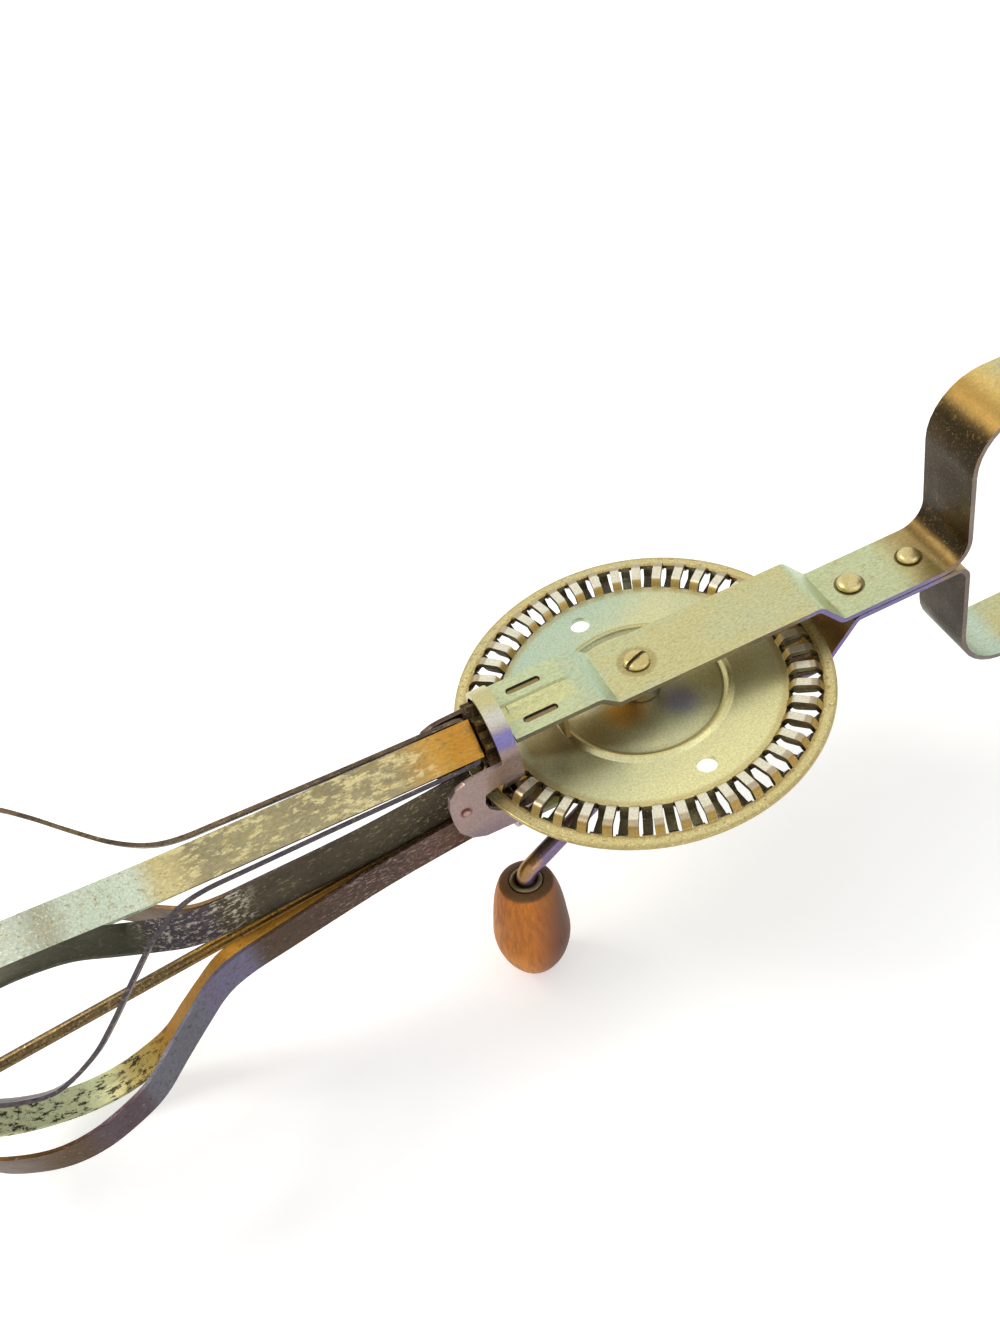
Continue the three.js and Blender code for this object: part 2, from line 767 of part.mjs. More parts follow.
function hubSpacer(side) {
  const face = side > 0 ? wheelHalf + domeRise : wheelHalf - domeRise;
  const inner = side * (face + fitGap);
  const outer = side * (strapInner - fitGap);
  return ring(
    axleRadius + fitGap,
    axleRadius + fitGap + hubWall,
    Math.min(inner, outer),
    Math.max(inner, outer),
  );
}

function thrustWasher() {
  const start = -strapOuter - fitGap;
  return ring(axleRadius + fitGap, axleRadius + 2 * hubWall, start - washerSheet, start);
}

// Knob, drawn along its own axis with its top at zero
function crankKnob() {
  const profile = knobRunShares.map((share, index) => [
    knobReachShares[index] * knobRadius,
    share * knobLength,
  ]);
  const body = turned(profile, knobFacets);
  const ferrule = axleRadius + fitGap + ferruleWall;
  const bore = rod(axleRadius + fitGap, -knobLength, knobLength - knobEndWall + fitGap);
  const seat = rod(ferrule + fitGap, -knobLength, ferruleLength - ferruleLip + fitGap);
  return cutAll(body, [bore, seat]);
}

function knobFerrule() {
  const inner = axleRadius + fitGap;
  const outer = inner + ferruleWall;
  return turned([
    [inner, -ferruleLip],
    [inner + ferruleWall / 2, -ferruleLip],
    [outer, -ferruleLip / 2],
    [outer, ferruleLength - ferruleLip],
    [inner, ferruleLength - ferruleLip],
    [inner, -ferruleLip],
  ], ringFacets);
}

// Assembly
const steel = { metalness: 0.9, roughness: 0.35 };
const brass = { metalness: 0.9, roughness: 0.3 };
const wood = { metalness: 0, roughness: 0.5 };
const assembly = new THREE.Group();
assembly.name = 'rotary_egg_beater';

function addMesh(name, solid, colour, finish) {
  const material = new THREE.MeshStandardMaterial({ color: colour, ...finish });
  material.name = `${name}_material`;
  const mesh = new THREE.Mesh(geometryOf(solid), material);
  mesh.name = name;
  assembly.add(mesh);
}

addMesh('frame_strap', frameStrap(), '#c6cdb4', steel);
addMesh('pinion_saddle', pinionSaddle(), '#b9a8bd', steel);
addMesh('neck_rivet_inner', neckRivet(innerRivetX, innerRivetRadius), '#c9a564', brass);
addMesh('neck_rivet_outer', neckRivet(outerRivetX, outerRivetRadius), '#c49f60', brass);
addMesh('drive_wheel', driveWheel(), '#d3d8b2', steel);
addMesh('crank_rod', crankRod(), '#a89c84', steel);
addMesh('axle_screw', axleScrew(), '#cfae6a', brass);
addMesh('front_hub_spacer', hubSpacer(1), '#9c9686', steel);
addMesh('rear_hub_spacer', hubSpacer(-1), '#9b9585', steel);
addMesh('rear_thrust_washer', thrustWasher(), '#a39d8c', steel);
addMesh('crank_knob', placed(crankKnob(), knobFrame), '#8a5636', wood);
addMesh('knob_ferrule', placed(knobFerrule(), knobFrame), '#8f8d88', steel);

const beaters = [
  ['front', frontFrame, frontTurn, frontFlareRadius, frontBladeReachShares, '#a8a283', '#5d554e'],
  ['rear', rearFrame, rearTurn, rearFlareRadius, rearBladeReachShares, '#5f5c4e', '#75656e'],
];
for (const [name, frame, turn, flare, shares, outerColour, innerColour] of beaters) {
  addMesh(`${name}_pinion`, placed(pinion(), frame), '#77746c', steel);
  addMesh(`${name}_shaft`, placed(shaft(), frame), '#b0914f', steel);
  addMesh(`${name}_loop_outer`, placed(loop(0, turn, flare, shares), frame), outerColour, steel);
  addMesh(`${name}_loop_inner`, placed(loop(1, turn + 90, flare, shares), frame), innerColour, steel);
  addMesh(`${name}_tip_collar`, placed(tipCollar(), frame), '#8b877b', steel);
  addMesh(`${name}_shaft_washer`, placed(tailWasher(), frame), '#8e8a7e', steel);
}

// Set the part on its base, with the middle of its box over the zero point
const box = new THREE.Box3().setFromObject(assembly, true);
const middle = box.getCenter(new THREE.Vector3());
for (const mesh of assembly.children) {
  mesh.geometry.translate(-middle.x, -middle.y, -box.min.z);
}

export default assembly;
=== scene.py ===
import json
import math

import bpy
from mathutils import Matrix, Vector


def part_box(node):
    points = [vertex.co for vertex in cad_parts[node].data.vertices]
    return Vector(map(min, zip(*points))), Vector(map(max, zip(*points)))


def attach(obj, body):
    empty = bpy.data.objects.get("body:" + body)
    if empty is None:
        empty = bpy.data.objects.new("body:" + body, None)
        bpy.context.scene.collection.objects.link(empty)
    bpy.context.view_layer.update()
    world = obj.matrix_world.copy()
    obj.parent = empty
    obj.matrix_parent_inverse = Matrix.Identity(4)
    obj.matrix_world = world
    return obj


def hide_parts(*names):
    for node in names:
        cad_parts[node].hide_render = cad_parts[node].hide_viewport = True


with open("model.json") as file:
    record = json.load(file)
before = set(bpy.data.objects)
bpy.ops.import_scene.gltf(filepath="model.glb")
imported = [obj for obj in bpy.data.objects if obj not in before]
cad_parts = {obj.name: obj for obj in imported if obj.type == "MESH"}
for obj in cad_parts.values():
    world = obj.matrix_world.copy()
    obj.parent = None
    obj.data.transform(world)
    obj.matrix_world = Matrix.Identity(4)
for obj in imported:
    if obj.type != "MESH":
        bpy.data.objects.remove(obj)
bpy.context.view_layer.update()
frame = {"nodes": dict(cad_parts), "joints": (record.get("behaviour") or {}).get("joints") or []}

MM = 0.001
ALONG = (1, 0, 0)
ACROSS = (0, 1, 0)
UP = (0, 0, 1)
joints = {joint["name"]: joint for joint in frame["joints"]}
hub = Vector(joints["crank_turn"]["pos_m"])


# Selecting, editing and placing
def deselect():
    bpy.ops.object.select_all(action="DESELECT")


def make_active(piece):
    deselect()
    piece.select_set(True)
    bpy.context.view_layer.objects.active = piece


def edit(piece):
    make_active(piece)
    bpy.ops.object.mode_set(mode="EDIT")
    bpy.ops.mesh.select_all(action="SELECT")


def finish_edit():
    bpy.ops.object.mode_set(mode="OBJECT")


def close_shell(fill=False, threshold=0.001):
    """Merges points on one spot, fills open ends if asked, turns all faces outwards and ends the editing."""
    bpy.ops.mesh.select_all(action="SELECT")
    bpy.ops.mesh.remove_doubles(threshold=threshold * MM)
    if fill:
        bpy.ops.mesh.fill_holes(sides=0)
    bpy.ops.mesh.select_all(action="SELECT")
    bpy.ops.mesh.normals_make_consistent(inside=False)
    finish_edit()


def apply_modifier(piece, kind, **settings):
    make_active(piece)
    modifier = piece.modifiers.new(kind.lower(), kind)
    for key, value in settings.items():
        setattr(modifier, key, value)
    bpy.ops.object.modifier_apply(modifier=modifier.name)


def smooth(piece):
    """Smooth shading that leaves flat faces flat."""
    make_active(piece)
    bpy.ops.object.shade_smooth_by_angle(angle=math.radians(38))
    apply_modifier(piece, "WEIGHTED_NORMAL", keep_sharp=True, weight=80)


def bevel(piece, width, sharp):
    """Rounds the edges that are sharper than the given angle."""
    apply_modifier(piece, "BEVEL", width=width * MM, segments=2, limit_method="ANGLE",
                   angle_limit=math.radians(sharp))


def soften(piece, width, sharp=35):
    bevel(piece, width, sharp)
    smooth(piece)


def round_corners(piece, chosen, width, steps):
    """Rounds the edges that a rule picks by their middle and their direction, both from the hub in mm."""
    edit(piece)
    bpy.ops.mesh.select_mode(type="EDGE")
    bpy.ops.mesh.select_all(action="DESELECT")
    finish_edit()
    corners = piece.data.vertices
    for edge in piece.data.edges:
        first, second = (corners[index].co for index in edge.vertices)
        run = second - first
        if run.length > 0 and chosen(((first + second) / 2 - hub) / MM, run / MM):
            edge.select = True
    bpy.ops.object.mode_set(mode="EDIT")
    bpy.ops.mesh.bevel(offset=width * MM, segments=steps, affect="EDGES", clamp_overlap=True)
    finish_edit()


def settle(piece, name, place):
    """Moves a piece drawn about its own axis to where it belongs, with that place in its mesh."""
    piece.name = name
    piece.data.name = name
    piece.matrix_world = place @ piece.matrix_world
    make_active(piece)
    bpy.ops.object.transform_apply(location=True, rotation=True, scale=True)


def cut(piece, cutter, place):
    """Takes a cutter's shape out of a piece."""
    settle(cutter, "cutter", place)
    apply_modifier(piece, "BOOLEAN", object=cutter, operation="DIFFERENCE", solver="EXACT")
    bpy.data.objects.remove(cutter)


def drill(piece, radius, depth, place):
    deselect()
    bpy.ops.mesh.primitive_cylinder_add(vertices=48, radius=radius * MM, depth=depth * MM)
    cut(piece, bpy.context.object, place)


def hand_over(piece, node, body, material):
    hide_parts(node)
    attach(piece, body)
    piece.data.materials.clear()
    piece.data.materials.append(material)


# Places and directions of the turning parts
def joint_frame(name):
    """Place of a turning part, with its own third axis down the beater's shaft or the knob's pin."""
    joint = joints[name]
    axis = -Vector(joint["axis"]).normalized()
    side = Vector(ACROSS).cross(axis).normalized()
    turn = Matrix((side, axis.cross(side), axis)).transposed()
    return Matrix.Translation(joint["pos_m"]) @ turn.to_4x4()


def about_z(degrees):
    return Matrix.Rotation(math.radians(degrees), 4, "Z")


def extent(node, place):
    """Lowest and highest place of a node along an axis, and its reach from that axis, in mm."""
    spots = [place.inverted() @ vertex.co / MM for vertex in frame["nodes"][node].data.vertices]
    heights = [spot.z for spot in spots]
    return min(heights), max(heights), max(math.hypot(spot.x, spot.y) for spot in spots)


# Turned piece, drawn ring by ring from pairs of radius and height in mm
def turned(name, rings, place, sides=64, closed=False, edge=0.0):
    deselect()
    radius, height = rings[0]
    bpy.ops.mesh.primitive_circle_add(vertices=sides, radius=radius * MM, location=(0, 0, height * MM))
    piece = bpy.context.object
    edit(piece)
    for (wide, low), (reach, high) in zip(rings, rings[1:]):
        bpy.ops.mesh.extrude_edges_move(TRANSFORM_OT_translate={"value": (0, 0, (high - low) * MM)})
        share = reach / wide
        bpy.ops.transform.resize(value=(share, share, 1), center_override=(0, 0, high * MM))
    close_shell(fill=not closed)
    settle(piece, name, place)
    if edge:
        soften(piece, edge)
    else:
        smooth(piece)
    return piece


DOME_STEPS = 8
DOME_FULLNESS = 0.6
DOME_TIP = 0.05


def dome(radius, seat, rise):
    """Rings of a rounded head over its seat, up to a very small ring on the axis."""
    rings = []
    for step in range(1, DOME_STEPS):
        angle = math.radians(90 * step / DOME_STEPS)
        rings.append((radius * math.cos(angle) ** DOME_FULLNESS, seat + rise * math.sin(angle)))
    return rings + [(DOME_TIP, seat + rise)]


def smooth_line(points, steps):
    """Curve through all points, with the same number of steps between each pair."""
    line = []
    last = len(points) - 1
    for index in range(last):
        p0, p1 = points[max(index - 1, 0)], points[index]
        p2, p3 = points[index + 1], points[min(index + 2, last)]
        for step in range(steps):
            t = step / steps
            line.append(tuple(
                0.5 * (2 * b + (c - a) * t + (2 * a - 5 * b + 4 * c - d) * t * t
                       + (3 * b - 3 * c + d - a) * t ** 3)
                for a, b, c, d in zip(p0, p1, p2, p3)))
    return line + [points[-1]]


# Bent strip, drawn by pulling an edge along pairs of reach and height in mm, with a width at each
def bent_strip(path, widths):
    deselect()
    reach, height = path[0]
    bpy.ops.mesh.primitive_plane_add(size=widths[0] * MM, location=(reach * MM, 0, height * MM))
    piece = bpy.context.object
    edit(piece)
    bpy.ops.transform.resize(value=(0, 1, 1))
    bpy.ops.mesh.remove_doubles(threshold=0.001 * MM)
    for before, here, width, wide in zip(path, path[1:], widths, widths[1:]):
        step = ((here[0] - before[0]) * MM, 0, (here[1] - before[1]) * MM)
        bpy.ops.mesh.extrude_edges_move(TRANSFORM_OT_translate={"value": step})
        bpy.ops.transform.resize(value=(1, wide / width, 1),
                                 center_override=(here[0] * MM, 0, here[1] * MM))
    close_shell(threshold=0.01)
    return piece


# CAD piece whose triangles are merged back into faces, so that its edges can be worked
def merged(name, node):
    piece = frame["nodes"][node].copy()
    piece.data = piece.data.copy()
    bpy.context.scene.collection.objects.link(piece)
    piece.parent = None
    piece.matrix_world = Matrix.Identity(4)
    piece.name = name
    piece.data.name = name
    edit(piece)
    bpy.ops.mesh.remove_doubles(threshold=0.002 * MM)
    bpy.ops.mesh.dissolve_limited(angle_limit=math.radians(1))
    finish_edit()
    return piece


# Colours and shader nodes
def colour(code):
    """Turns an sRGB hex code into the linear colour that Blender works in."""
    values = [int(code[place:place + 2], 16) / 255 for place in (1, 3, 5)]
    return tuple(v / 12.92 if v <= 0.04045 else ((v + 0.055) / 1.055) ** 2.4 for v in values) + (1,)


def add(tree, kind, inputs=None, **settings):
    """Adds a shader node with its settings, and with values or links for its inputs."""
    made = tree.nodes.new("ShaderNode" + kind)
    for key, value in settings.items():
        setattr(made, key, value)
    for key, value in (inputs or {}).items():
        if isinstance(value, bpy.types.NodeSocket):
            tree.links.new(value, made.inputs[key])
        else:
            made.inputs[key].default_value = value
    return made


def lumps(tree, coords, size, detail, rough, stretch):
    """Noise with lumps about size mm across, drawn out along an axis whose share is below one."""
    spread = add(tree, "VectorMath", {0: coords.outputs["Object"], 1: stretch}, operation="MULTIPLY")
    made = add(tree, "TexNoise", {
        "Vector": spread.outputs[0], "Scale": 1 / (size * MM), "Detail": detail, "Roughness": rough})
    return made.outputs["Fac"]


def mask(tree, coords, spec):
    """Zero to one over places from the hub, distances in plan or from a spot, or facing directions."""
    kind, vector, low, high = spec
    if kind == "facing":
        value = add(tree, "VectorMath", {0: coords.outputs["Normal"], 1: vector}, operation="DOT_PRODUCT")
    else:
        low, high = low * MM, high * MM
        start = hub if kind == "place" else hub + Vector(vector) * MM
        away = add(tree, "VectorMath", {0: coords.outputs["Object"], 1: tuple(start)}, operation="SUBTRACT")
        if kind == "round":
            away = add(tree, "VectorMath", {0: away.outputs[0], 1: (1, 1, 0)}, operation="MULTIPLY")
        if kind == "place":
            value = add(tree, "VectorMath", {0: away.outputs[0], 1: vector}, operation="DOT_PRODUCT")
        else:
            value = add(tree, "VectorMath", {0: away.outputs[0]}, operation="LENGTH")
    return add(tree, "MapRange", {0: value.outputs["Value"], 1: low, 2: high},
               interpolation_type="SMOOTHSTEP").outputs[0]


def paint(tree, coords, tone, code, share, strength, specs):
    """Lays a colour over the tone below it, by a share and a strength, where all the masks allow it."""
    share = add(tree, "Math", {0: share, 1: strength}, operation="MULTIPLY").outputs[0]
    for spec in specs:
        share = add(tree, "Math", {0: mask(tree, coords, spec), 1: share}, operation="MULTIPLY").outputs[0]
    return add(tree, "Mix", {0: share, 6: tone, 7: colour(code)}, data_type="RGBA").outputs[2]


def band(vector, low, high, edge):
    """Two masks that leave a stretch between two places, with soft ends."""
    return [("place", vector, low - edge, low), ("place", vector, high + edge, high)]


def ring_band(inner, outer, edge, centre=(0, 0, 0)):
    return [("round", centre, inner - edge, inner), ("round", centre, outer + edge, outer)]


def blank_material(name):
    """New material with its nodes, its shader and the object's coordinates."""
    material = bpy.data.materials.new(name)
    material.use_nodes = True
    tree = material.node_tree
    return material, tree, tree.nodes["Principled BSDF"], add(tree, "TexCoord")


def worn_metal(name, base, patch, spots=(), zones=(), patch_size=9, stretch=(1, 1, 1),
               metallic=0.8, roughness=0.36, grain=0.15):
    """Old plating: cloudy patches, tinted zones, fine spots, and a polish that follows the patches.

    A zone is a colour, a strength and masks. Spots are a colour, a size in mm, a strength, a limit and masks.
    """
    material, tree, shader, coords = blank_material(name)
    clouds = lumps(tree, coords, patch_size, 5, 0.6, stretch)
    fine = lumps(tree, coords, 0.45, 2, 0.7, stretch)
    share = add(tree, "MapRange", {0: clouds, 1: 0.4, 2: 0.62}, interpolation_type="SMOOTHSTEP")
    tone = paint(tree, coords, colour(base), patch, share.outputs[0], 1, [])
    uneven = add(tree, "MapRange", {0: clouds, 1: 0.3, 2: 0.6, 3: 0.86, 4: 1},
                 interpolation_type="SMOOTHSTEP")
    for code, strength, specs in zones:
        tone = paint(tree, coords, tone, code, uneven.outputs[0], strength, specs)
    for code, size, strength, edge, specs in spots:
        specks = lumps(tree, coords, size, 4, 0.75, stretch)
        share = add(tree, "MapRange", {0: specks, 1: edge, 2: edge + 0.1}, interpolation_type="SMOOTHSTEP")
        tone = paint(tree, coords, tone, code, share.outputs[0], strength, specs)
    light = add(tree, "MapRange", {0: fine, 1: 0.3, 2: 0.7, 3: 0.86, 4: 1.1},
                interpolation_type="SMOOTHSTEP")
    shade = add(tree, "HueSaturation", {"Color": tone, "Value": light.outputs[0]})
    bump = add(tree, "Bump", {"Strength": grain, "Distance": 0.08 * MM, "Height": fine})
    polish = add(tree, "MapRange", {0: clouds, 1: 0.3, 2: 0.7, 3: roughness - 0.08, 4: roughness + 0.1},
                 interpolation_type="SMOOTHSTEP")
    tree.links.new(shade.outputs[0], shader.inputs["Base Color"])
    tree.links.new(polish.outputs[0], shader.inputs["Roughness"])
    tree.links.new(bump.outputs[0], shader.inputs["Normal"])
    shader.inputs["Metallic"].default_value = metallic
    return material


# Frame strap: the slots get round ends and the pressed edges are eased
SLOT_START = -28.6
SLOT_END = -20.6
SLOT_SPACING = 9.24
SLOT_WIDTH = 1.8


def slot_corner(middle, run):
    ends = abs(abs(middle.x - (SLOT_START + SLOT_END) / 2) - (SLOT_END - SLOT_START) / 2) < 0.2
    sides = abs(abs(abs(middle.y) - SLOT_SPACING / 2) - SLOT_WIDTH / 2) < 0.1
    return ends and sides and abs(run.z) > 0.98 * run.length


def rivet_shade_ring(node):
    """Dark ring of painted shade round a rivet's head, where it meets the strap."""
    low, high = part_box(node)
    reach = (high[0] - low[0]) / 2 / MM
    centre = ((low[0] + high[0]) / 2 / MM - hub.x / MM, 0, 0)
    return ("#57481f", 0.95, ring_band(reach, reach + 0.5, 0.2, centre))


def strap_metal():
    """Yellowed zinc plate that looks pale green and gold by turns, with painted shade that makes it brown
    where it stands upright.
    """
    return worn_metal(
        "yellowed_zinc_strap", "#cdc68f", "#c6c79a",
        zones=[
            ("#c3cfa4", 0.8, band(ALONG, -40, -16, 2)),
            # Painted pale blue-green light on the jog slopes that face the grip, and on the jog by the raised
            # pinion section
            ("#c2d8b4", 0.8, [("facing", ALONG, 0.15, 0.45), ("place", ALONG, 66, 60)]),
            ("#b4ccb4", 0.6, band(ALONG, -14, -11, 3)),
            # Painted highlight along the ridge between the slots, and a painted shadow line on its far side
            ("#dcd793", 0.6, band(ACROSS, -3.2, 0.6, 0.8) + [("place", ALONG, -14, -18)]),
            ("#7d7440", 0.5, band(ACROSS, 1.2, 1.7, 0.5) + [("place", ALONG, -14, -17)]),
            ("#c5cfa4", 0.8, band(ALONG, 44, 62, 5)),
            ("#a58648", 0.85, band(ALONG, 72, 80, 10) + [("place", UP, 12, 8)]),
            # Painted shade, brown, on the lower faces turned towards the wheel end
            ("#6f5526", 0.9, [("facing", ALONG, -0.05, -0.35), ("place", UP, 16, 12)]),
            ("#e4bc62", 0.85, [("place", ALONG, 97, 87), ("place", UP, 24, 30)]),
            ("#c4dccb", 0.8, band(ALONG, 82, 90, 5) + [("place", UP, -24, -30)]),
            # Painted shade, golden brown, on the higher faces turned towards the wheel end
            ("#9d7838", 0.9, [("facing", ALONG, -0.15, -0.5), ("place", UP, 18, 24)]),
            # The upright's painted shade is laid on twice, because one layer leaves its patches too light
            ("#2b1e06", 1.0, [("facing", ALONG, -0.45, -0.85), ("place", ALONG, 70, 74)]),
            ("#2b1e06", 0.8, [("facing", ALONG, -0.5, -0.85), ("place", ALONG, 70, 74)]),
            # Painted shade, brown, on the faces turned downwards, which the wheel also reflects
            ("#7d694a", 0.9, [("facing", UP, -0.5, -0.9)]),
            ("#7d5a26", 1.0, band(ALONG, 33, 50, 2) + [("place", UP, 0, -1)]),
            ("#a08a50", 0.6, ring_band(2.6, 4.0, 0.8)),
            # Painted shade rings round the rivet heads
            rivet_shade_ring("neck_rivet_inner"),
            rivet_shade_ring("neck_rivet_outer"),
            # Painted violet-grey reflection on the faces turned to the near side, stronger along the neck
            ("#6f6264", 0.9, [("facing", ACROSS, -0.6, -0.95)]),
            ("#7a70a8", 0.8, [("facing", ACROSS, -0.6, -0.95)] + band(ALONG, 40, 68, 6)),
        ],
        spots=[
            ("#8d8650", 0.5, 0.45, 0.56, []),
            ("#e6e2bd", 0.7, 0.4, 0.6, [("facing", ALONG, -0.6, -0.3)]),
            ("#a97c2f", 2.5, 0.3, 0.58, []),
        ], stretch=(0.5, 1, 1))


def frame_strap():
    piece = merged("strap_bent_strip", "frame_strap")
    round_corners(piece, slot_corner, width=0.8, steps=4)
    soften(piece, width=0.2, sharp=30)
    hand_over(piece, "frame_strap", "frame", strap_metal())


# Pinion saddle: the ears' outline is eased into curves
EAR_EDGE = -41
DIMPLE = (-46.8, -9.9, 0)


def ear_corner(middle, run):
    return middle.x < EAR_EDGE and abs(run.y) > 0.99 * run.length and run.length < 1.4


def saddle_metal():
    """Purple-pink zinc plate under painted light: yellow where the far side is lit from above, a white
    highlight on top, a blue reflection, and shade inside the far ear.
    """
    return worn_metal(
        "purple_zinc_saddle_painted_light", "#9b867e", "#a38d8a",
        zones=[
            ("#8f7f8c", 0.7, [("place", UP, -4, -9)]),
            # Painted white highlight on top, painted light in yellow on the far side, and a painted blue
            # reflection
            ("#d9d8cb", 0.9, [("place", UP, 15, 18)]),
            ("#c9c07a", 0.9, [("place", ACROSS, -4.5, 0), ("place", UP, 8, 11)]),
            ("#7274bd", 0.75, [("place", ACROSS, -5.5, -7.6), ("place", UP, 11.5, 13.5),
                               ("place", UP, 17, 15)]),
            # Painted shade inside the far ear, on its far part and on its inner faces
            ("#3f3020", 0.95, [("place", ACROSS, 7.5, 9)]),
            ("#3b2c1e", 0.95, [("facing", ACROSS, -0.5, -0.9), ("place", ACROSS, 2, 4)]),
            ("#8a774a", 0.9, [("place", ALONG, -31.6, -30.8)]),
            ("#8c5648", 0.85, [("spot", DIMPLE, 1.7, 1.2)]),
            ("#b59a94", 0.9, [("spot", DIMPLE, 0.9, 0.6)]),
        ],
        spots=[("#d0b3a6", 0.6, 0.35, 0.58, []), ("#6c5450", 0.5, 0.35, 0.6, [])])


def pinion_saddle():
    piece = merged("saddle_folded_sheet", "pinion_saddle")
    round_corners(piece, ear_corner, width=1.1, steps=3)
    soften(piece, width=0.15, sharp=30)
    hand_over(piece, "pinion_saddle", "frame", saddle_metal())


# Drive wheel: a turned disc and rim with a strip bent into each tooth between them
WHEEL_REACH = 42
WHEEL_SHEET = 1.2
WHEEL_BORE = 2.4
WHEEL_SIDES = 180
RIM_EDGE = 0.35
DOME_RISE = 0.6
BOSS_RADIUS = 4.8
DOME_EDGE = 16
BEAD_RADIUS = 19.1
BEAD_RISE = 1.1
BEAD_SHARES = [
    (-1.25, 0), (-0.95, 0.12), (-0.6, 0.55), (-0.3, 0.88), (0, 1),
    (0.3, 0.88), (0.6, 0.55), (0.95, 0.12), (1.25, 0),
]
TOOTH_INNER = 31.9
TOOTH_OUTER = 39.1
TOOTH_COUNT = 45
TOOTH_WIDTH = 2.05
TOOTH_SHEET = 1.14
TOOTH_EDGE = 0.16
TOOTH_LINE = [
    (-0.5, 0), (-0.12, 0), (0.12, 0.12), (0.36, 0.5), (1.0, 1.48), (1.3, 1.86), (1.62, 2.05), (2.0, 2.1),
]
HOLE_RADIUS = 2.3
HOLE_REACH = 25.6
HOLE_ANGLES = [95.9, -85.5]
WHEEL_PLACE = Matrix.Translation(hub)


def wheel_metal():
    """Yellowed zinc on the disc, with a painted strap shadow and two painted reflections, painted highlights
    on the teeth's tops and painted shade between them.
    """
    centre = (0, 0, 0)
    teeth = ring_band(TOOTH_INNER, TOOTH_OUTER, 0.1)
    rim = ("round", centre, 38.8, 39.4)
    return worn_metal(
        "yellowed_zinc_wheel", "#dad6a2", "#cfd0a4",
        zones=[
            ("#b5ccb6", 0.8, [("place", (-0.55, 0.83, 0), 6, 26)]),
            ("#ebe4a6", 0.8, [("place", (0.3, -0.95, 0), 12, 26)]),
            # Painted shadow of the strap on the disc, below its near edge
            ("#9a7f48", 0.8, band((0.36, 0.93, 0), -13, -6, 3) + [("place", ALONG, -4, -16),
                                                                  ("round", centre, 31, 28)]),
            ("#b89c58", 0.5, ring_band(31.1, 31.9, 1.2)),
            ("#d3c487", 0.95, [("round", centre, 38.6, 39.3)]),
            ("#9c8a55", 0.7, [("round", centre, 41, 42)]),
            ("#ab8a4a", 0.6, ring_band(38.9, 39.6, 0.5)),
            ("#c9b165", 0.7, ring_band(18.9, 19.3, 0.25)),
            ("#8d7d48", 0.6, ring_band(17.7, 18.0, 0.4)),
            # Painted golden and violet reflections on the disc near the hub
            ("#eeb04a", 0.95, [("round", (-5.9, -3.6, 0), 7, 1.5)]),
            ("#918bb8", 0.75, [("round", (5.7, -7.1, 0), 6.5, 1)]),
            # Painted shade on the teeth's steep sides and on the sunk teeth between the raised ones
            ("#4a3a1e", 0.95, teeth + [("facing", UP, 0.75, 0.4)]),
            ("#3d301b", 0.95, teeth + [("place", UP, 1.2, 0.6)]),
            ("#b0904c", 0.95, teeth + [("facing", UP, 0.2, 0.5), ("facing", UP, 0.92, 0.7),
                                       ("place", UP, 0.4, 0.7)]),
            # Painted highlight on the flat tops of the raised teeth
            ("#e6e0c8", 1.0, teeth + [("facing", UP, 0.75, 0.95), ("place", UP, 1.6, 2.2)]),
            ("#8a6a34", 0.6, ring_band(TOOTH_OUTER - 2.2, TOOTH_OUTER, 0.6) + [("place", UP, 1.6, 2.2)]),
        ],
        spots=[
            ("#9a9258", 0.5, 0.4, 0.58, []),
            ("#e2dfb4", 0.6, 0.35, 0.6, []),
            ("#94753a", 1.2, 0.6, 0.54, [rim]),
            ("#eee3b4", 0.9, 0.5, 0.56, [rim]),
        ], patch_size=13)


def wheel_disc():
    half = WHEEL_SHEET / 2
    middle = [(WHEEL_BORE, DOME_RISE), (BOSS_RADIUS, DOME_RISE), (DOME_EDGE, 0)]
    middle += [(BEAD_RADIUS + reach, BEAD_RISE * share) for reach, share in BEAD_SHARES]
    middle += [(TOOTH_INNER, 0)]
    rings = [(reach, height + half) for reach, height in middle]
    rings += [(reach, height - half) for reach, height in reversed(middle)]
    disc = turned("wheel_disc", rings + rings[:1], WHEEL_PLACE, WHEEL_SIDES, closed=True)
    for angle in HOLE_ANGLES:
        spot = Matrix.Translation((HOLE_REACH * MM, 0, 0))
        drill(disc, HOLE_RADIUS, 6 * WHEEL_SHEET, WHEEL_PLACE @ about_z(angle) @ spot)
    soften(disc, width=0.15, sharp=60)
    return disc


def wheel_rim():
    half = WHEEL_SHEET / 2
    rings = [(TOOTH_OUTER, -half), (WHEEL_REACH, -half), (WHEEL_REACH, half), (TOOTH_OUTER, half)]
    return turned("wheel_rim", rings + rings[:1], WHEEL_PLACE, WHEEL_SIDES, closed=True, edge=RIM_EDGE)


def wheel_tooth():
    """One tooth, a strip that steps up from the disc, runs flat and steps down to the rim."""
    rise = [(TOOTH_INNER + run, height) for run, height in TOOTH_LINE]
    fall = [(TOOTH_OUTER - run, height) for run, height in reversed(TOOTH_LINE)]
    tooth = bent_strip(rise + fall, [TOOTH_WIDTH] * len(rise + fall))
    apply_modifier(tooth, "SOLIDIFY", thickness=TOOTH_SHEET * MM, offset=0, use_even_offset=True)
    bevel(tooth, TOOTH_EDGE, 50)
    return tooth


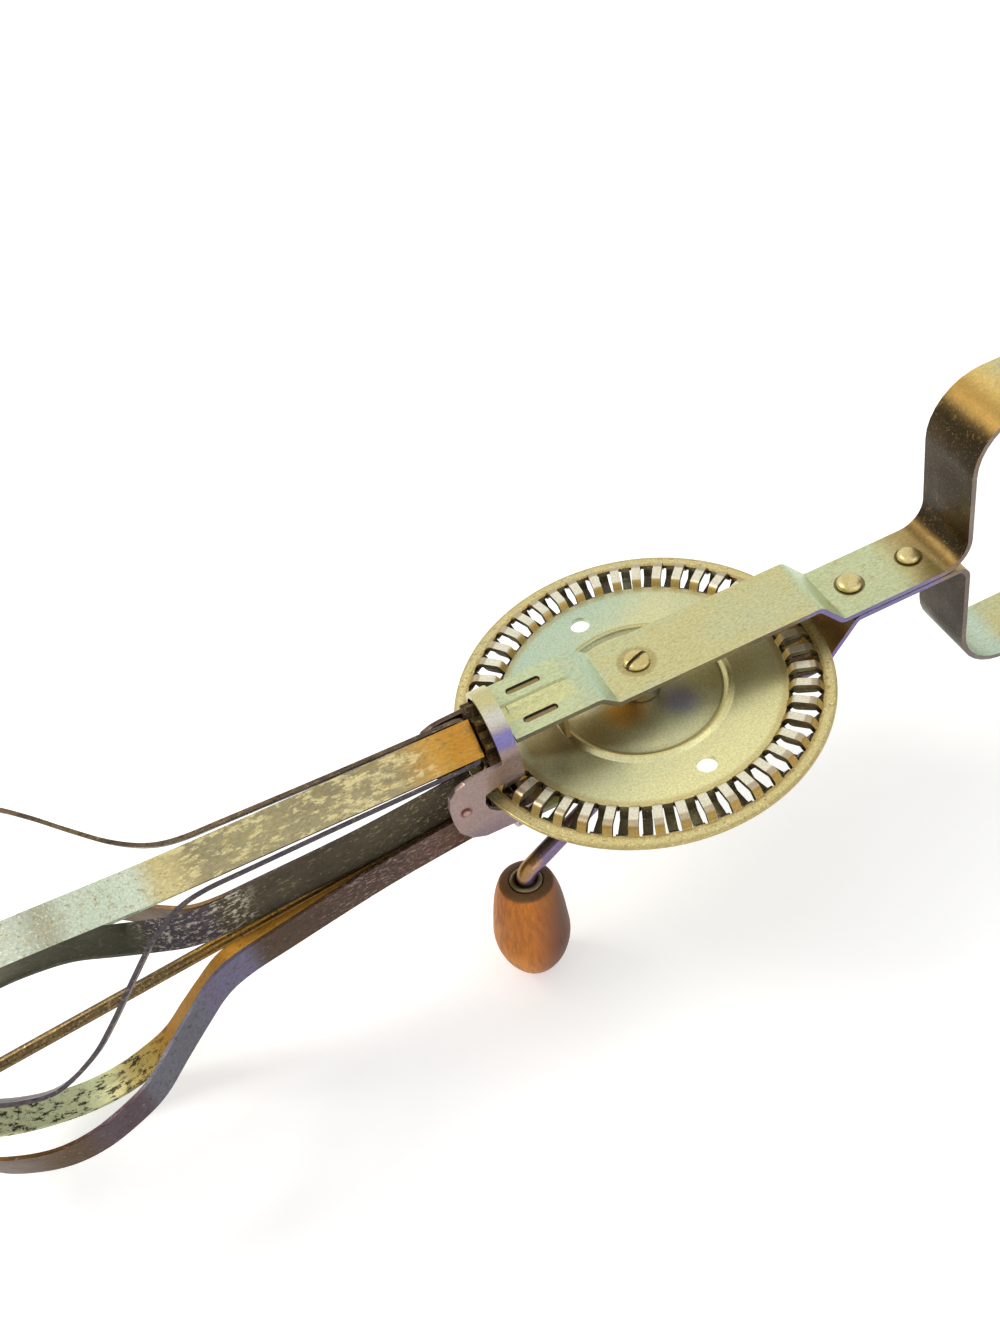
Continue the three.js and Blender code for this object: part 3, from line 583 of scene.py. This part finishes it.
def drive_wheel():
    wheel = wheel_disc()
    parts = [wheel, wheel_rim()]
    tooth = wheel_tooth()
    for step in range(2 * TOOTH_COUNT):
        copy = tooth.copy()
        copy.data = tooth.data.copy()
        bpy.context.scene.collection.objects.link(copy)
        turn = Matrix.Rotation(math.pi * step / TOOTH_COUNT, 4, "Z")
        flip = Matrix.Rotation(math.pi, 4, "X") if step % 2 else Matrix.Identity(4)
        settle(copy, "tooth", WHEEL_PLACE @ turn @ flip)
        parts.append(copy)
    bpy.data.objects.remove(tooth)
    deselect()
    for part in parts:
        part.select_set(True)
    bpy.context.view_layer.objects.active = wheel
    bpy.ops.object.join()
    wheel.name = "wheel_pressed_disc"
    wheel.data.name = "wheel_pressed_disc"
    smooth(wheel)
    hand_over(wheel, "drive_wheel", "drive", wheel_metal())


frame_strap()
pinion_saddle()
drive_wheel()

# Beater loops, drawn about their shaft, with a wing's run and reach in shares of the whole
LOOP_SHEET = 0.9
STEM_WIDTH = 8.5
FLARE_WIDTH = 7.6
STEM_REACH = 5.45
LOOP_START = 2.3
LOOP_STEP = 1.2
DASHER_LENGTH = 141
RUN_SHARES = [
    0.218, 0.396, 0.471, 0.516, 0.56, 0.605, 0.65, 0.694, 0.754, 0.813, 0.873, 0.922, 0.962, 0.989,
]
REACH_SHARES = {
    "front": [0.005, 0.02, 0.032, 0.092, 0.238, 0.456, 0.689, 0.875, 1, 0.943, 0.793, 0.612, 0.383, 0.15],
    "rear": [0.01, 0.085, 0.125, 0.205, 0.39, 0.6, 0.815, 0.925, 1, 0.975, 0.843, 0.665, 0.413, 0.16],
}
FLARE_REACH = {"front": 30, "rear": 28.7}
LOOP_TURN = {"front": -39, "rear": -2.7}
SHAFT_RADIUS = 1.45
FIT = 0.3


def loop_path(side, level):
    start = LOOP_START + level * LOOP_STEP
    end = DASHER_LENGTH - level * LOOP_STEP
    top = start / (end - start)
    reach = FLARE_REACH[side] - STEM_REACH
    flank = [(STEM_REACH, start + 2 * LOOP_SHEET)]
    for run, share in zip(RUN_SHARES, REACH_SHARES[side]):
        flank.append((STEM_REACH + share * reach, start + (run * (1 + top) - top) * (end - start)))
    flank.append((STEM_REACH, end))
    half = [(STEM_REACH - LOOP_SHEET, start), (STEM_REACH - LOOP_SHEET / 3, start + LOOP_SHEET / 3)]
    half += smooth_line(flank, 5)
    other = [(-across, along) for across, along in reversed(half)]
    return half + other + [half[0]]


def strip_width(side, across):
    share = (abs(across) - STEM_REACH) / (FLARE_REACH[side] - STEM_REACH)
    return STEM_WIDTH + min(max(share, 0), 1) * (FLARE_WIDTH - STEM_WIDTH)


def beater_loop(side, ring, level, material):
    path = loop_path(side, level)
    piece = bent_strip(path, [strip_width(side, across) for across, _ in path])
    apply_modifier(piece, "SOLIDIFY", thickness=LOOP_SHEET * MM, offset=-1, use_even_offset=True)
    place = joint_frame(side + "_beater_spin")
    settle(piece, side + "_wings_" + ring, place @ about_z(LOOP_TURN[side] + 90 * level))
    drill(piece, SHAFT_RADIUS + FIT, 3 * DASHER_LENGTH, place)
    soften(piece, width=0.2, sharp=50)
    hand_over(piece, side + "_loop_" + ring, side + "_beater", material)


def loop_way(side, level):
    """Direction in which the wings of a loop spread. One level more is a quarter turn more."""
    turn = math.radians(LOOP_TURN[side] + 90 * level)
    return joint_frame(side + "_beater_spin").to_3x3() @ Vector((math.cos(turn), math.sin(turn), 0))


def wing(side, level, sign):
    """Mask of one of a loop's two wings."""
    toward = loop_way(side, level) * sign
    start = (joint_frame(side + "_beater_spin").translation - hub).dot(toward) / MM
    return ("place", tuple(toward), start - 1, start + 1)


def edge_zones(side, level, code, strength):
    """Tints a loop's narrow edges."""
    way = tuple(loop_way(side, level + 1))
    return [(code, strength, [("facing", way, sign * 0.5, sign * 0.9)]) for sign in (1, -1)]


def front_outer_metal():
    """Olive zinc rubbed bare in speckles, golden by the saddle and mint-white towards the tip."""
    return worn_metal(
        "speckled_zinc_front_outer", "#a59a74", "#948a69",
        zones=[
            ("#cf9d42", 0.95, [("place", ALONG, -60, -46)]),
            ("#b8802a", 0.7, [("place", ALONG, -50, -43)]),
            ("#d2c287", 0.7, band(ALONG, -110, -106, 6)),
            ("#d6e3cb", 0.95, band(ALONG, -124, -114, 6)),
            ("#c6cfba", 0.9, [("place", ALONG, -124, -134)]),
        ] + edge_zones("front", 0, "#4d3c2a", 0.9),
        spots=[
            ("#e2d59b", 1.7, 0.8, 0.5, band(ALONG, -104, -62, 10)),
            ("#7a5420", 1.2, 0.6, 0.56, [("place", ALONG, -76, -56)]),
            ("#ead9a0", 2.2, 0.6, 0.5, band(ALONG, -66, -52, 5)),
            ("#b39a5c", 1.2, 0.5, 0.54, []),
            ("#6a6046", 0.6, 0.6, 0.58, []),
            ("#f0f2de", 0.5, 0.6, 0.53, [("place", ALONG, -108, -114)]),
        ], patch_size=6, stretch=(0.4, 1, 1))


def front_inner_metal():
    """Brown tarnish with light rubs, seen edge-on."""
    return worn_metal(
        "tarnished_zinc_front_inner", "#7a664c", "#5b4d40",
        zones=[("#4f4b55", 0.9, [wing("front", 1, -1)])],
        spots=[("#b09c70", 0.6, 0.55, 0.56, []), ("#2e2620", 0.7, 0.7, 0.54, [])],
        patch_size=5, stretch=(0.4, 1, 1))


def rear_outer_metal():
    """Charcoal tarnish on the upper wing, gold and pale yellow with black spots on the lower one."""
    upper = wing("rear", 0, 1)
    lower = wing("rear", 0, -1)
    return worn_metal(
        "charcoal_zinc_rear_outer", "#393327", "#474032",
        zones=[
            ("#5a5a4c", 0.9, [upper, ("place", ALONG, -114, -124)]),
            ("#4b4352", 0.7, [upper] + band(ALONG, -114, -106, 5)),
            ("#a37523", 1.0, [lower]),
            ("#8f8148", 0.9, [lower, ("place", ALONG, -124, -134)]),
            ("#b4ba94", 0.95, [lower, ("place", ALONG, -134, -148)]),
        ],
        spots=[
            ("#bcb4a4", 0.7, 0.75, 0.51, [upper] + band(ALONG, -114, -100, 8)),
            ("#83795f", 0.8, 0.5, 0.56, [upper]),
            ("#a39a7c", 0.7, 0.7, 0.57, [upper, ("place", ALONG, -72, -58)]),
            ("#1d1a12", 1.3, 0.95, 0.5, [lower, ("place", ALONG, -120, -134)]),
            ("#6e4a14", 0.8, 0.6, 0.54, [lower, ("place", ALONG, -130, -118)]),
        ], patch_size=6, stretch=(0.4, 1, 1), roughness=0.44)


def rear_inner_metal():
    """Purple bloom over dark zinc that turns slate, brown and tan along the lower wing."""
    upper = wing("rear", 1, 1)
    lower = wing("rear", 1, -1)
    return worn_metal(
        "purple_zinc_rear_inner", "#483526", "#53402f",
        zones=[
            ("#62493a", 0.85, [lower, ("place", ALONG, -70, -54)]),
            ("#6d6880", 0.95, [lower] + band(ALONG, -112, -102, 6)),
            ("#686973", 0.9, [lower] + band(ALONG, -128, -115, 5)),
            ("#52424a", 0.9, [lower] + band(ALONG, -142, -132, 5)),
            ("#4c3208", 1.0, [lower, ("place", ALONG, -138, -148)]),
            ("#3a3026", 1.0, [upper]),
            ("#634a28", 0.9, [upper, ("place", ALONG, -98, -106)]),
        ],
        spots=[
            ("#a3898a", 0.5, 0.75, 0.52, [lower, ("place", ALONG, -90, -70)]),
            ("#2c2328", 0.7, 0.6, 0.55, []),
            ("#33272a", 0.9, 0.7, 0.51, [lower, ("place", ALONG, -86, -64)]),
            ("#8c8790", 0.5, 0.5, 0.58, []),
        ], patch_size=6, stretch=(0.4, 1, 1))


beater_loop("front", "outer", 0, front_outer_metal())
beater_loop("front", "inner", 1, front_inner_metal())
beater_loop("rear", "outer", 0, rear_outer_metal())
beater_loop("rear", "inner", 1, rear_inner_metal())

# Shafts, pinions, collars and washers of the beaters
SHAFT_SIDES = 32
SHAFT_HEAD_RISE = 0.9
RING_EDGE = 0.18


def shaft_metal():
    """Browned steel with reddish-gold speckles."""
    return worn_metal(
        "browned_steel_shaft", "#6a583a", "#7f6a45",
        zones=[("#a87c28", 0.8, [("place", ALONG, -118, -104)])],
        spots=[("#bfa472", 0.7, 0.7, 0.53, []), ("#2f261a", 0.8, 0.8, 0.55, [])], patch_size=5)


def pinion_metal():
    """Dark greasy steel with a golden cast."""
    return worn_metal("greasy_steel_pinion", "#54411f", "#3c2f1c",
                      spots=[("#a07f3e", 0.6, 0.6, 0.55, [])], patch_size=3, roughness=0.42)


def ring_metal():
    """Dull steel of the rings and washers."""
    return worn_metal("dull_steel_rings", "#827a66", "#96896a",
                      spots=[("#4c4434", 0.5, 0.6, 0.57, [])], patch_size=3)


shaft_finish = shaft_metal()
pinion_finish = pinion_metal()
ring_finish = ring_metal()


def ring_piece(name, node, body, place, inner):
    first, last, outer = extent(node, place)
    rings = [(inner, first), (outer, first), (outer, last), (inner, last), (inner, first)]
    hand_over(turned(name, rings, place, closed=True, edge=RING_EDGE), node, body, ring_finish)


def beater_parts(side):
    place = joint_frame(side + "_beater_spin")
    body = side + "_beater"
    tail, end, head = extent(side + "_shaft", place)
    tail_seat = tail + SHAFT_HEAD_RISE
    end_seat = end - SHAFT_HEAD_RISE
    rings = list(reversed(dome(head, tail_seat, -SHAFT_HEAD_RISE)))
    rings += [(head, tail_seat), (SHAFT_RADIUS, tail_seat), (SHAFT_RADIUS, end_seat), (head, end_seat)]
    rings += dome(head, end_seat, SHAFT_HEAD_RISE)
    shaft = turned(side + "_round_shaft", rings, place, SHAFT_SIDES)
    hand_over(shaft, side + "_shaft", body, shaft_finish)
    ring_piece(side + "_collar_ring", side + "_tip_collar", body, place, SHAFT_RADIUS + FIT)
    ring_piece(side + "_washer_ring", side + "_shaft_washer", body, place, SHAFT_RADIUS + FIT)
    teeth = merged(side + "_pinion_teeth", side + "_pinion")
    soften(teeth, width=0.15, sharp=30)
    hand_over(teeth, side + "_pinion", body, pinion_finish)


beater_parts("front")
beater_parts("rear")

# Rivets, with a head on each side of the neck
RIVET_SHANK = 1.6
RIVET_RISE = 1.3
RIVET_TAIL = 2.3


def brass_metal(name, zones=()):
    """Pale brassy plating with darker specks."""
    return worn_metal(name, "#cdb979", "#dac98f", zones=zones,
                      spots=[("#7d6430", 0.5, 0.5, 0.58, [])], patch_size=4, roughness=0.3)


brass_finish = brass_metal("pale_brass_heads")


def neck_rivet(name, node):
    low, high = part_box(node)
    place = Matrix.Translation(((low[0] + high[0]) / 2, (low[1] + high[1]) / 2, 0))
    bottom, top, head = extent(node, place)
    tail = min(RIVET_TAIL, head)
    rings = list(reversed(dome(tail, bottom + RIVET_RISE, -RIVET_RISE)))
    rings += [(tail, bottom + RIVET_RISE), (RIVET_SHANK, bottom + RIVET_RISE)]
    rings += [(RIVET_SHANK, top - RIVET_RISE), (head, top - RIVET_RISE)]
    rings += dome(head, top - RIVET_RISE, RIVET_RISE)
    hand_over(turned(name, rings, place), node, "frame", brass_finish)


neck_rivet("rivet_near_wheel", "neck_rivet_inner")
neck_rivet("rivet_near_grip", "neck_rivet_outer")

# Axle parts
AXLE_RADIUS = 2.1
SCREW_SLOT_WIDTH = 0.9
SCREW_SLOT_DEPTH = 0.55
CRANK_AZIMUTH = -160.15
axle_place = Matrix.Translation((hub.x, hub.y, 0))


def painted_slot_shade(slot_floor):
    """Painted shade in the screw's slot, which points along the crank."""
    across = math.radians(CRANK_AZIMUTH + 90)
    way = (math.cos(across), math.sin(across), 0)
    half = SCREW_SLOT_WIDTH / 2
    depth = ("place", UP, slot_floor + 0.35, slot_floor + 0.1)
    return ("#3c2e1a", 0.95, [depth] + band(way, -half, half, 0.05))


def axle_screw():
    seat, top, reach = extent("axle_screw", axle_place)
    rings = [(reach, seat)] + dome(reach, seat, top - seat)
    piece = turned("screw_slotted_head", rings, axle_place)
    deselect()
    bpy.ops.mesh.primitive_cube_add(size=1, location=(0, 0, (top - SCREW_SLOT_DEPTH / 2 + 0.5) * MM))
    cutter = bpy.context.object
    edit(cutter)
    depth = (SCREW_SLOT_DEPTH + 1) * MM
    bpy.ops.transform.resize(value=(3 * reach * MM, SCREW_SLOT_WIDTH * MM, depth))
    finish_edit()
    cut(piece, cutter, axle_place @ about_z(CRANK_AZIMUTH))
    smooth(piece)
    # Painted shade in the slot
    slot_shade = painted_slot_shade(top - SCREW_SLOT_DEPTH - hub.z / MM)
    hand_over(piece, "axle_screw", "drive", brass_metal("pale_brass_screw", [slot_shade]))


axle_screw()
ring_piece("spacer_front_ring", "front_hub_spacer", "drive", axle_place, AXLE_RADIUS + FIT)
ring_piece("spacer_rear_ring", "rear_hub_spacer", "drive", axle_place, AXLE_RADIUS + FIT)
ring_piece("thrust_ring", "rear_thrust_washer", "drive", axle_place, AXLE_RADIUS + FIT)

# Crank rod, a round bar whose end ring is pulled out straight and swung round at each bend
CRANK_DROP = 17.4
CRANK_LENGTH = 42
CRANK_SLOPE = 7
PIN_LEAN = 6.5
AXLE_BEND = 4.5
PIN_BEND = 2.5
KNOB_START = 2.3
KNOB_LENGTH = 31
KNOB_SOLID_END = 6.7
PIN_LENGTH = KNOB_START + KNOB_LENGTH - KNOB_SOLID_END
STRAP_OUTER = 9.94
BEND_STEPS = 16
ROD_SIDES = 44


def pull(spot, way, length):
    """Draws the end ring straight on, and gives the place that its middle reaches."""
    bpy.ops.mesh.extrude_edges_move(TRANSFORM_OT_translate={"value": way * length * MM})
    return spot + way * length


def swing(spot, way, angle, bend):
    """Turns the end ring about an axis across the bar, and gives its new place and way."""
    turn = Matrix.Rotation(angle, 3, "Y")
    side = Matrix.Rotation(math.copysign(math.pi / 2, angle), 3, "Y") @ way
    centre = spot + side * bend
    bpy.ops.mesh.spin(steps=BEND_STEPS, angle=-angle, center=centre * MM, axis=ACROSS)
    return centre + turn @ (spot - centre), turn @ way


def rod_metal():
    """Dark plated bar, darker on its upper left side, with a painted violet reflection on its shaded lower
    right side and a golden rub at the bend.
    """
    azimuth = math.radians(CRANK_AZIMUTH)
    outward = (math.cos(azimuth), math.sin(azimuth), 0)
    return worn_metal(
        "plated_rod_painted_violet", "#6d5a52", "#5c4a46",
        zones=[
            # Painted violet reflection on the faces turned to the lower right, and a darker brown on those
            # turned to the upper left
            ("#7f6d90", 0.9, [("facing", (0.6, -0.7, 0.1), 0.1, 0.75)]),
            ("#2f211a", 0.9, [("facing", (-0.5, 0.6, 0.3), 0.2, 0.8)]),
            ("#b88a48", 0.8, [("place", outward, 36, 40), ("facing", UP, 0.1, 0.6)]),
        ],
        spots=[("#c0a070", 0.5, 0.4, 0.58, [])], patch_size=4, roughness=0.3)


def crank_rod():
    elbow = math.radians(90 - CRANK_SLOPE)
    corner = math.radians(90 - CRANK_SLOPE - PIN_LEAN)
    elbow_run = AXLE_BEND * math.tan(elbow / 2)
    corner_run = PIN_BEND * math.tan(corner / 2)
    deselect()
    bpy.ops.mesh.primitive_circle_add(vertices=ROD_SIDES, radius=AXLE_RADIUS * MM,
                                      location=(0, 0, STRAP_OUTER * MM))
    rod = bpy.context.object
    edit(rod)
    spot, way = Vector((0, 0, STRAP_OUTER)), Vector((0, 0, -1))
    spot = pull(spot, way, STRAP_OUTER + CRANK_DROP - elbow_run)
    spot, way = swing(spot, way, -elbow, AXLE_BEND)
    spot = pull(spot, way, CRANK_LENGTH - elbow_run - corner_run)
    spot, way = swing(spot, way, corner, PIN_BEND)
    pull(spot, way, PIN_LENGTH - corner_run)
    close_shell(fill=True)
    settle(rod, "crank_bent_rod", Matrix.Translation(hub) @ about_z(CRANK_AZIMUTH))
    soften(rod, width=0.25, sharp=50)
    hand_over(rod, "crank_rod", "drive", rod_metal())


crank_rod()

# Knob and ferrule, drawn along the pin with the knob's top at zero
KNOB_RADIUS = 8.8
KNOB_OUTLINE = [
    (0.5, 0), (0.64, 0.01), (0.72, 0.03), (0.845, 0.148), (0.92, 0.28), (0.966, 0.413), (1, 0.529),
    (0.97, 0.63), (0.88, 0.73), (0.76, 0.81), (0.593, 0.889), (0.39, 0.95), (0.24, 0.985), (0.13, 1),
    (0.02, 1),
]
FERRULE_WALL = 1.25
FERRULE_LIP = 0.5
FERRULE_LENGTH = 4.2
FERRULE_EDGE = 0.1
knob_place = joint_frame("knob_spin")


def knob_wood():
    """Varnished wood: orange-brown with fine upright grain, purple-brown painted shade on one side, dark at
    the bore.
    """
    material, tree, shader, coords = blank_material("varnished_wood_knob")
    grain = lumps(tree, coords, 0.9, 5, 0.65, (1, 1, 0.12))
    clouds = lumps(tree, coords, 7, 3, 0.5, (1, 1, 0.4))
    away = knob_place.translation - hub
    painted_shade_side = Vector((0.9, -0.4, -0.17))
    middle = away.dot(painted_shade_side) / MM
    down = knob_place.col[2].to_3d()
    start = away.dot(down) / MM
    share = add(tree, "MapRange", {0: clouds, 1: 0.35, 2: 0.65}, interpolation_type="SMOOTHSTEP")
    tone = paint(tree, coords, colour("#e08a0a"), "#cc740c", share.outputs[0], 1, [])
    # Painted shade, purple-brown, on the knob's side turned away from the light
    tone = paint(tree, coords, tone, "#4c2619", 1, 1, [("place", tuple(painted_shade_side), middle, middle + 9)])
    share = add(tree, "MapRange", {0: grain, 1: 0.6, 2: 0.36}, interpolation_type="SMOOTHSTEP")
    tone = paint(tree, coords, tone, "#8a4a16", share.outputs[0], 0.45, [])
    tone = paint(tree, coords, tone, "#4f4230", 1, 0.85, [("place", tuple(down), start + 0.75, start + 0.2)])
    polish = add(tree, "MapRange", {0: grain, 1: 0.3, 2: 0.7, 3: 0.58, 4: 0.46},
                 interpolation_type="SMOOTHSTEP")
    bump = add(tree, "Bump", {"Strength": 0.3, "Distance": 0.1 * MM, "Height": grain})
    tree.links.new(tone, shader.inputs["Base Color"])
    tree.links.new(polish.outputs[0], shader.inputs["Roughness"])
    tree.links.new(bump.outputs[0], shader.inputs["Normal"])
    return material


def ferrule_metal():
    """Dull brown-grey ring, dark inside."""
    inside = knob_place.translation - hub
    centre = (inside.x / MM, inside.y / MM, 0)
    return worn_metal("dull_brass_ferrule", "#80724f", "#8f8162",
                      zones=[("#2c2118", 0.95, [("round", centre, 3.1, 2.6)])],
                      spots=[("#4d3f2a", 0.5, 0.5, 0.56, [])], patch_size=3, roughness=0.42)


def crank_knob():
    bore_radius = AXLE_RADIUS + FIT
    seat = bore_radius + FERRULE_WALL + FIT
    bore_end = KNOB_LENGTH - KNOB_SOLID_END + FIT
    seat_end = FERRULE_LENGTH - FERRULE_LIP + FIT
    outline = smooth_line([(share * KNOB_RADIUS, run * KNOB_LENGTH) for share, run in KNOB_OUTLINE], 3)
    rings = [(0.1, bore_end), (bore_radius, bore_end), (bore_radius, seat_end), (seat, seat_end), (seat, 0)]
    hand_over(turned("knob_turned_wood", rings + outline, knob_place), "crank_knob", "knob", knob_wood())


def knob_ferrule():
    inner = AXLE_RADIUS + FIT
    outer = inner + FERRULE_WALL
    end = FERRULE_LENGTH - FERRULE_LIP
    rings = [(inner, -FERRULE_LIP), (inner + FERRULE_WALL / 2, -FERRULE_LIP), (outer, -FERRULE_LIP / 2),
             (outer, end), (inner, end), (inner, -FERRULE_LIP)]
    piece = turned("ferrule_ring", rings, knob_place, closed=True, edge=FERRULE_EDGE)
    hand_over(piece, "knob_ferrule", "knob", ferrule_metal())


crank_knob()
knob_ferrule()

# Camera at the photograph's place, worked out from the wheel's outline and the strap's edges
CAMERA_SENSOR = 36
CAMERA_LENS = 53.74
CAMERA_WHEEL_RADII = Vector((-1.8591, -4.8712, 5.8399))
CAMERA_TURN = Matrix((
    (0.89854, 0.40855, -0.16037),
    (-0.40217, 0.62009, -0.67360),
    (-0.17575, 0.66976, 0.72148),
))
camera_data = bpy.data.cameras.new("camera")
camera_data.sensor_fit = "HORIZONTAL"
camera_data.sensor_width = CAMERA_SENSOR
camera_data.lens = CAMERA_LENS
camera_data.clip_start = 10 * MM
camera = bpy.data.objects.new("camera", camera_data)
bpy.context.scene.collection.objects.link(camera)
wheel_face = hub + Vector((0, 0, WHEEL_SHEET / 2 * MM))
camera_place = wheel_face + CAMERA_WHEEL_RADII * (WHEEL_REACH * MM)
camera.matrix_world = Matrix.Translation(camera_place) @ CAMERA_TURN.to_4x4()
bpy.context.scene.camera = camera

# Floor, backdrop and lamps
FLOOR_SIZE = 6
FLOOR_GLOW = 0.34
ROOM_LIGHT = 0.65
LIT_SPOT = Vector((0, 0, 0.05))


def seen_ray(tree):
    """One for rays that the camera, metal or glass sends out, zero for those that light the object."""
    rays = add(tree, "LightPath").outputs
    seen = rays["Is Camera Ray"]
    for kind in ("Is Glossy Ray", "Is Transmission Ray"):
        seen = add(tree, "Math", {0: seen, 1: rays[kind]}, operation="MAXIMUM").outputs[0]
    return seen


def studio_floor():
    """Plain pale floor that shows the shadow, lit up a little towards white where it is seen."""
    deselect()
    bpy.ops.mesh.primitive_plane_add(size=FLOOR_SIZE, location=(0, 0, 0))
    floor = bpy.context.object
    floor.name = "floor"
    edit(floor)
    bpy.ops.mesh.subdivide(number_cuts=3)
    finish_edit()
    paint_coat = bpy.data.materials.new("white_studio_floor")
    paint_coat.use_nodes = True
    tree = paint_coat.node_tree
    shader = tree.nodes["Principled BSDF"]
    shader.inputs["Base Color"].default_value = colour("#fdfdfc")
    shader.inputs["Roughness"].default_value = 0.9
    shader.inputs["Emission Color"].default_value = colour("#ffffff")
    glow = add(tree, "Math", {0: seen_ray(tree), 1: FLOOR_GLOW}, operation="MULTIPLY")
    tree.links.new(glow.outputs[0], shader.inputs["Emission Strength"])
    floor.data.materials.append(paint_coat)


def studio_world():
    """Soft light from all round, behind a white backdrop that the camera and the metal see."""
    world = bpy.data.worlds.new("studio")
    world.use_nodes = True
    tree = world.node_tree
    backdrop = tree.nodes["Background"]
    backdrop.inputs["Color"].default_value = colour("#ffffff")
    strength = add(tree, "MapRange", {0: seen_ray(tree), 3: ROOM_LIGHT, 4: 1})
    tree.links.new(strength.outputs[0], backdrop.inputs["Strength"])
    bpy.context.scene.world = world


def softbox(name, place, size, power, tint):
    """Square lamp aimed at the beater, with its place and size in metres and its power in watts."""
    data = bpy.data.lights.new(name, "AREA")
    data.size = size
    data.energy = power
    data.color = colour(tint)[:3]
    lamp = bpy.data.objects.new(name, data)
    bpy.context.scene.collection.objects.link(lamp)
    lamp.location = place
    lamp.rotation_euler = (LIT_SPOT - Vector(place)).to_track_quat("-Z", "Y").to_euler()


studio_floor()
studio_world()
softbox("key_softbox", (-0.5, 0.38, 0.75), size=0.4, power=3.6, tint="#fffaf2")
softbox("fill_softbox", (0.5, -0.7, 0.5), size=0.6, power=0.9, tint="#f0f2ff")

bpy.context.scene.view_settings.view_transform = "Standard"
